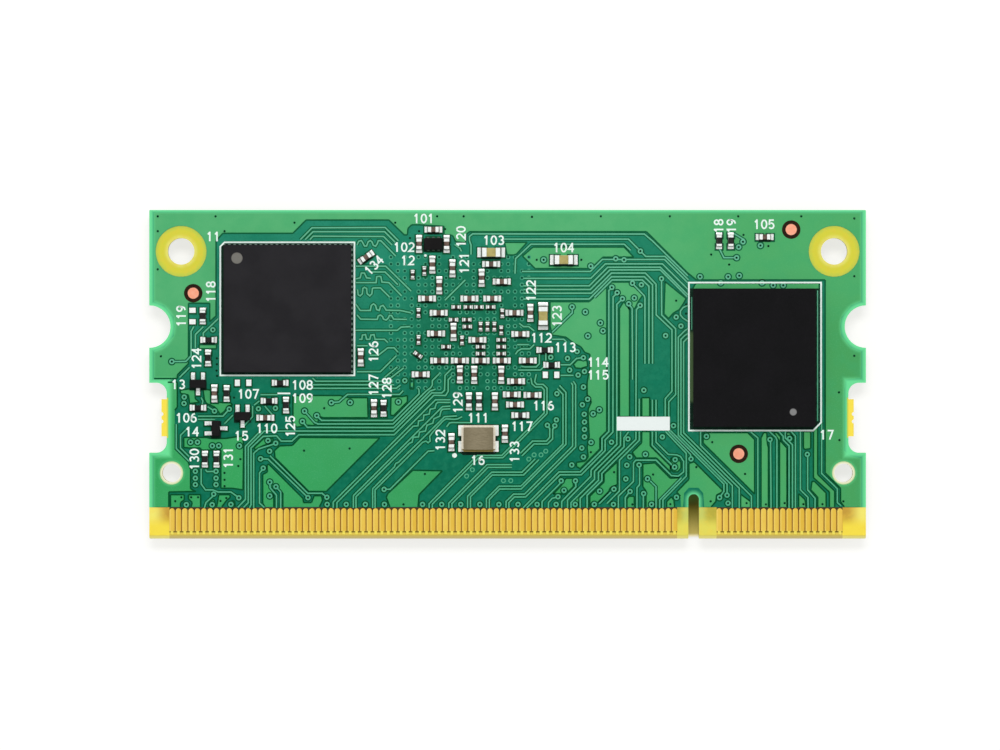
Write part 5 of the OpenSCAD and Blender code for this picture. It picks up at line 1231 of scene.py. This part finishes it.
lower_tracks.on_lower("lower_tracks", TRACK_RISE, track_green)
lower_rings.on_lower("lower_via_rings", RING_RISE, track_green)
lower_holes.on_lower("lower_vias", HOLE_RISE, hole_green)
lower_ink.ribbon([
    (-3, -2.9), (4, -2.9), (4, 12.1), (-10.4, 12.1), (-11, 11.5), (-11, -2.9), (-3, -2.9)], INK_W)
print_numbers(lower_ink, [
    (-12.4, 8.5, 0, 2), (-12.4, 5.5, 0, 2), (-12.4, 2.5, 0, 2), (5.4, 8.5, 0, 2), (5.4, 5.5, 0, 2),
    (5.4, 2.5, 0, 2), (-6.5, -5.35, 0, 2), (-3.5, -5.35, 0, 2), (-0.5, -5.35, 0, 2), (18.6, 8.6, 0, 3),
    (18.6, -3.6, 0, 3), (25.5, 9.2, 0, 3), (25.5, 1.2, 0, 3), (-17.8, -5, 0, 3), (13.6, 9.6, 0, 3),
    (13.6, -3.8, 0, 3)], mirrored=True)
lower_ink.on_lower("lower_legend", INK_RISE, white_ink, "legend_ink")

# Floor: a plain white sheet that the module lies on. To the camera it is white all round the board
# and through the side holes. Under the middle of the board it gets no shine, a painted shadow over
# the sheet's own shadow, and below the key slot it is painted yellow, a painted glow of the cut edge.
SPREAD = 4.0
SHADED_SHEET, NO_SHINE, OPEN_SHINE = (0.36, 0.36, 0.36, 1.0), (0.0, 0.0, 0.0, 1.0), (0.72, 0.72, 0.7, 1.0)
floor_mesh = bpy.data.meshes.new("floor")
corners = [(-SPREAD, -SPREAD, 0), (SPREAD, -SPREAD, 0), (SPREAD, SPREAD, 0), (-SPREAD, SPREAD, 0)]
floor_mesh.from_pydata(corners, [], [(0, 1, 2, 3)])
floor = bpy.data.objects.new("floor", floor_mesh)
bpy.context.scene.collection.objects.link(floor)
floor_material = bpy.data.materials.new("floor_white")
floor_material.use_nodes = True
floor_tree = floor_material.node_tree
floor_tree.nodes.clear()
floor_place = Place(floor_tree)
start = floor_place.start
rays = [start.node("ShaderNodeLightPath", output=name) for name in (
    "Is Camera Ray", "Is Glossy Ray", "Is Transmission Ray")]
seen = rays[0].most(rays[1]).most(rays[2])
# Painted shadow: the sheet shines to the camera only away from the middle of the board.
open_floor = abs(floor_place.x).rise(24.0, 28.0).most(abs(floor_place.y).rise(15.0, 15.6))
# Painted glow: below the key slot the sheet is painted from green through olive to pale yellow.
in_slot = abs(floor_place.x - KEY_X).rise(0.9, 0.7) * floor_place.y.rise(-15.5, -15.2)
in_slot = in_slot * floor_place.y.rise(-10.2, -11.0)
tint = floor_place.y.rise(-11.6, -12.6).blend(srgb(150, 196, 102), srgb(150, 140, 60))
tint = floor_place.y.rise(-12.6, -15.2).blend(tint, srgb(232, 214, 120))
sheet = in_slot.blend(SHADED_SHEET, tint)
shine = open_floor.blend(NO_SHINE, OPEN_SHINE)
plain = start.node("ShaderNodeBsdfPrincipled", inputs={
    "Base Color": sheet, "Roughness": 1.0, "Specular IOR Level": 0.0})
bright = start.node("ShaderNodeBsdfPrincipled", inputs={
    "Base Color": sheet, "Roughness": 1.0, "Specular IOR Level": 0.0, "Emission Color": shine,
    "Emission Strength": 1.0})
both = start.node("ShaderNodeMixShader", inputs={0: seen, 1: plain, 2: bright})
floor_out = floor_tree.nodes.new("ShaderNodeOutputMaterial")
floor_tree.links.new(both.out, floor_out.inputs["Surface"])
floor.data.materials.append(floor_material)

# Light: a white tent, a little darker overhead where the camera looks in, with one lamp high over
# the edge opposite the contacts and weaker ones at the sides.
SIDE_WHITE, OVERHEAD_GREY = (0.7, 0.7, 0.7, 1.0), (0.38, 0.38, 0.38, 1.0)
world = bpy.data.worlds.new("tent")
bpy.context.scene.world = world
world.use_nodes = True
world_tree = world.node_tree
world_tree.nodes.clear()
sky = Socket(world_tree, None)
direction = sky.node("ShaderNodeTexCoord", output=0)
height = sky.node("ShaderNodeSeparateXYZ", inputs={0: direction}, output=2)
tent = height.rise(0.1, 1.0).blend(SIDE_WHITE, OVERHEAD_GREY)
background = sky.node("ShaderNodeBackground", inputs={"Color": tent, "Strength": 1.0})
world_out = world_tree.nodes.new("ShaderNodeOutputWorld")
world_tree.links.new(background.out, world_out.inputs["Surface"])


def lamp(name, place, size, power):
    light = bpy.data.lights.new(name, "AREA")
    light.shape = "RECTANGLE"
    light.size, light.size_y = size
    light.energy = power
    made = bpy.data.objects.new(name, light)
    bpy.context.scene.collection.objects.link(made)
    made.location = place
    made.rotation_euler = (-Vector(place)).to_track_quat("-Z", "Y").to_euler()


lamp("tent_top", (0.0, 0.27, 0.55), (0.34, 0.16), 1.75)
lamp("tent_left", (-0.5, 0.0, 0.4), (0.4, 0.5), 0.3)
lamp("tent_right", (0.5, 0.0, 0.4), (0.4, 0.5), 0.3)

# Camera: straight above the board, far enough for a nearly flat view, framed as in the photograph.
AIM_X, AIM_Y, CAMERA_HEIGHT = -0.717, -0.066, 0.6
camera_data = bpy.data.cameras.new("camera")
camera_data.sensor_width = 36.0
camera_data.lens = 229.0
camera = bpy.data.objects.new("camera", camera_data)
bpy.context.scene.collection.objects.link(camera)
camera.location = (AIM_X * MM, AIM_Y * MM, mask_top + CAMERA_HEIGHT)
bpy.context.scene.camera = camera
bpy.context.scene.view_settings.view_transform = "Standard"
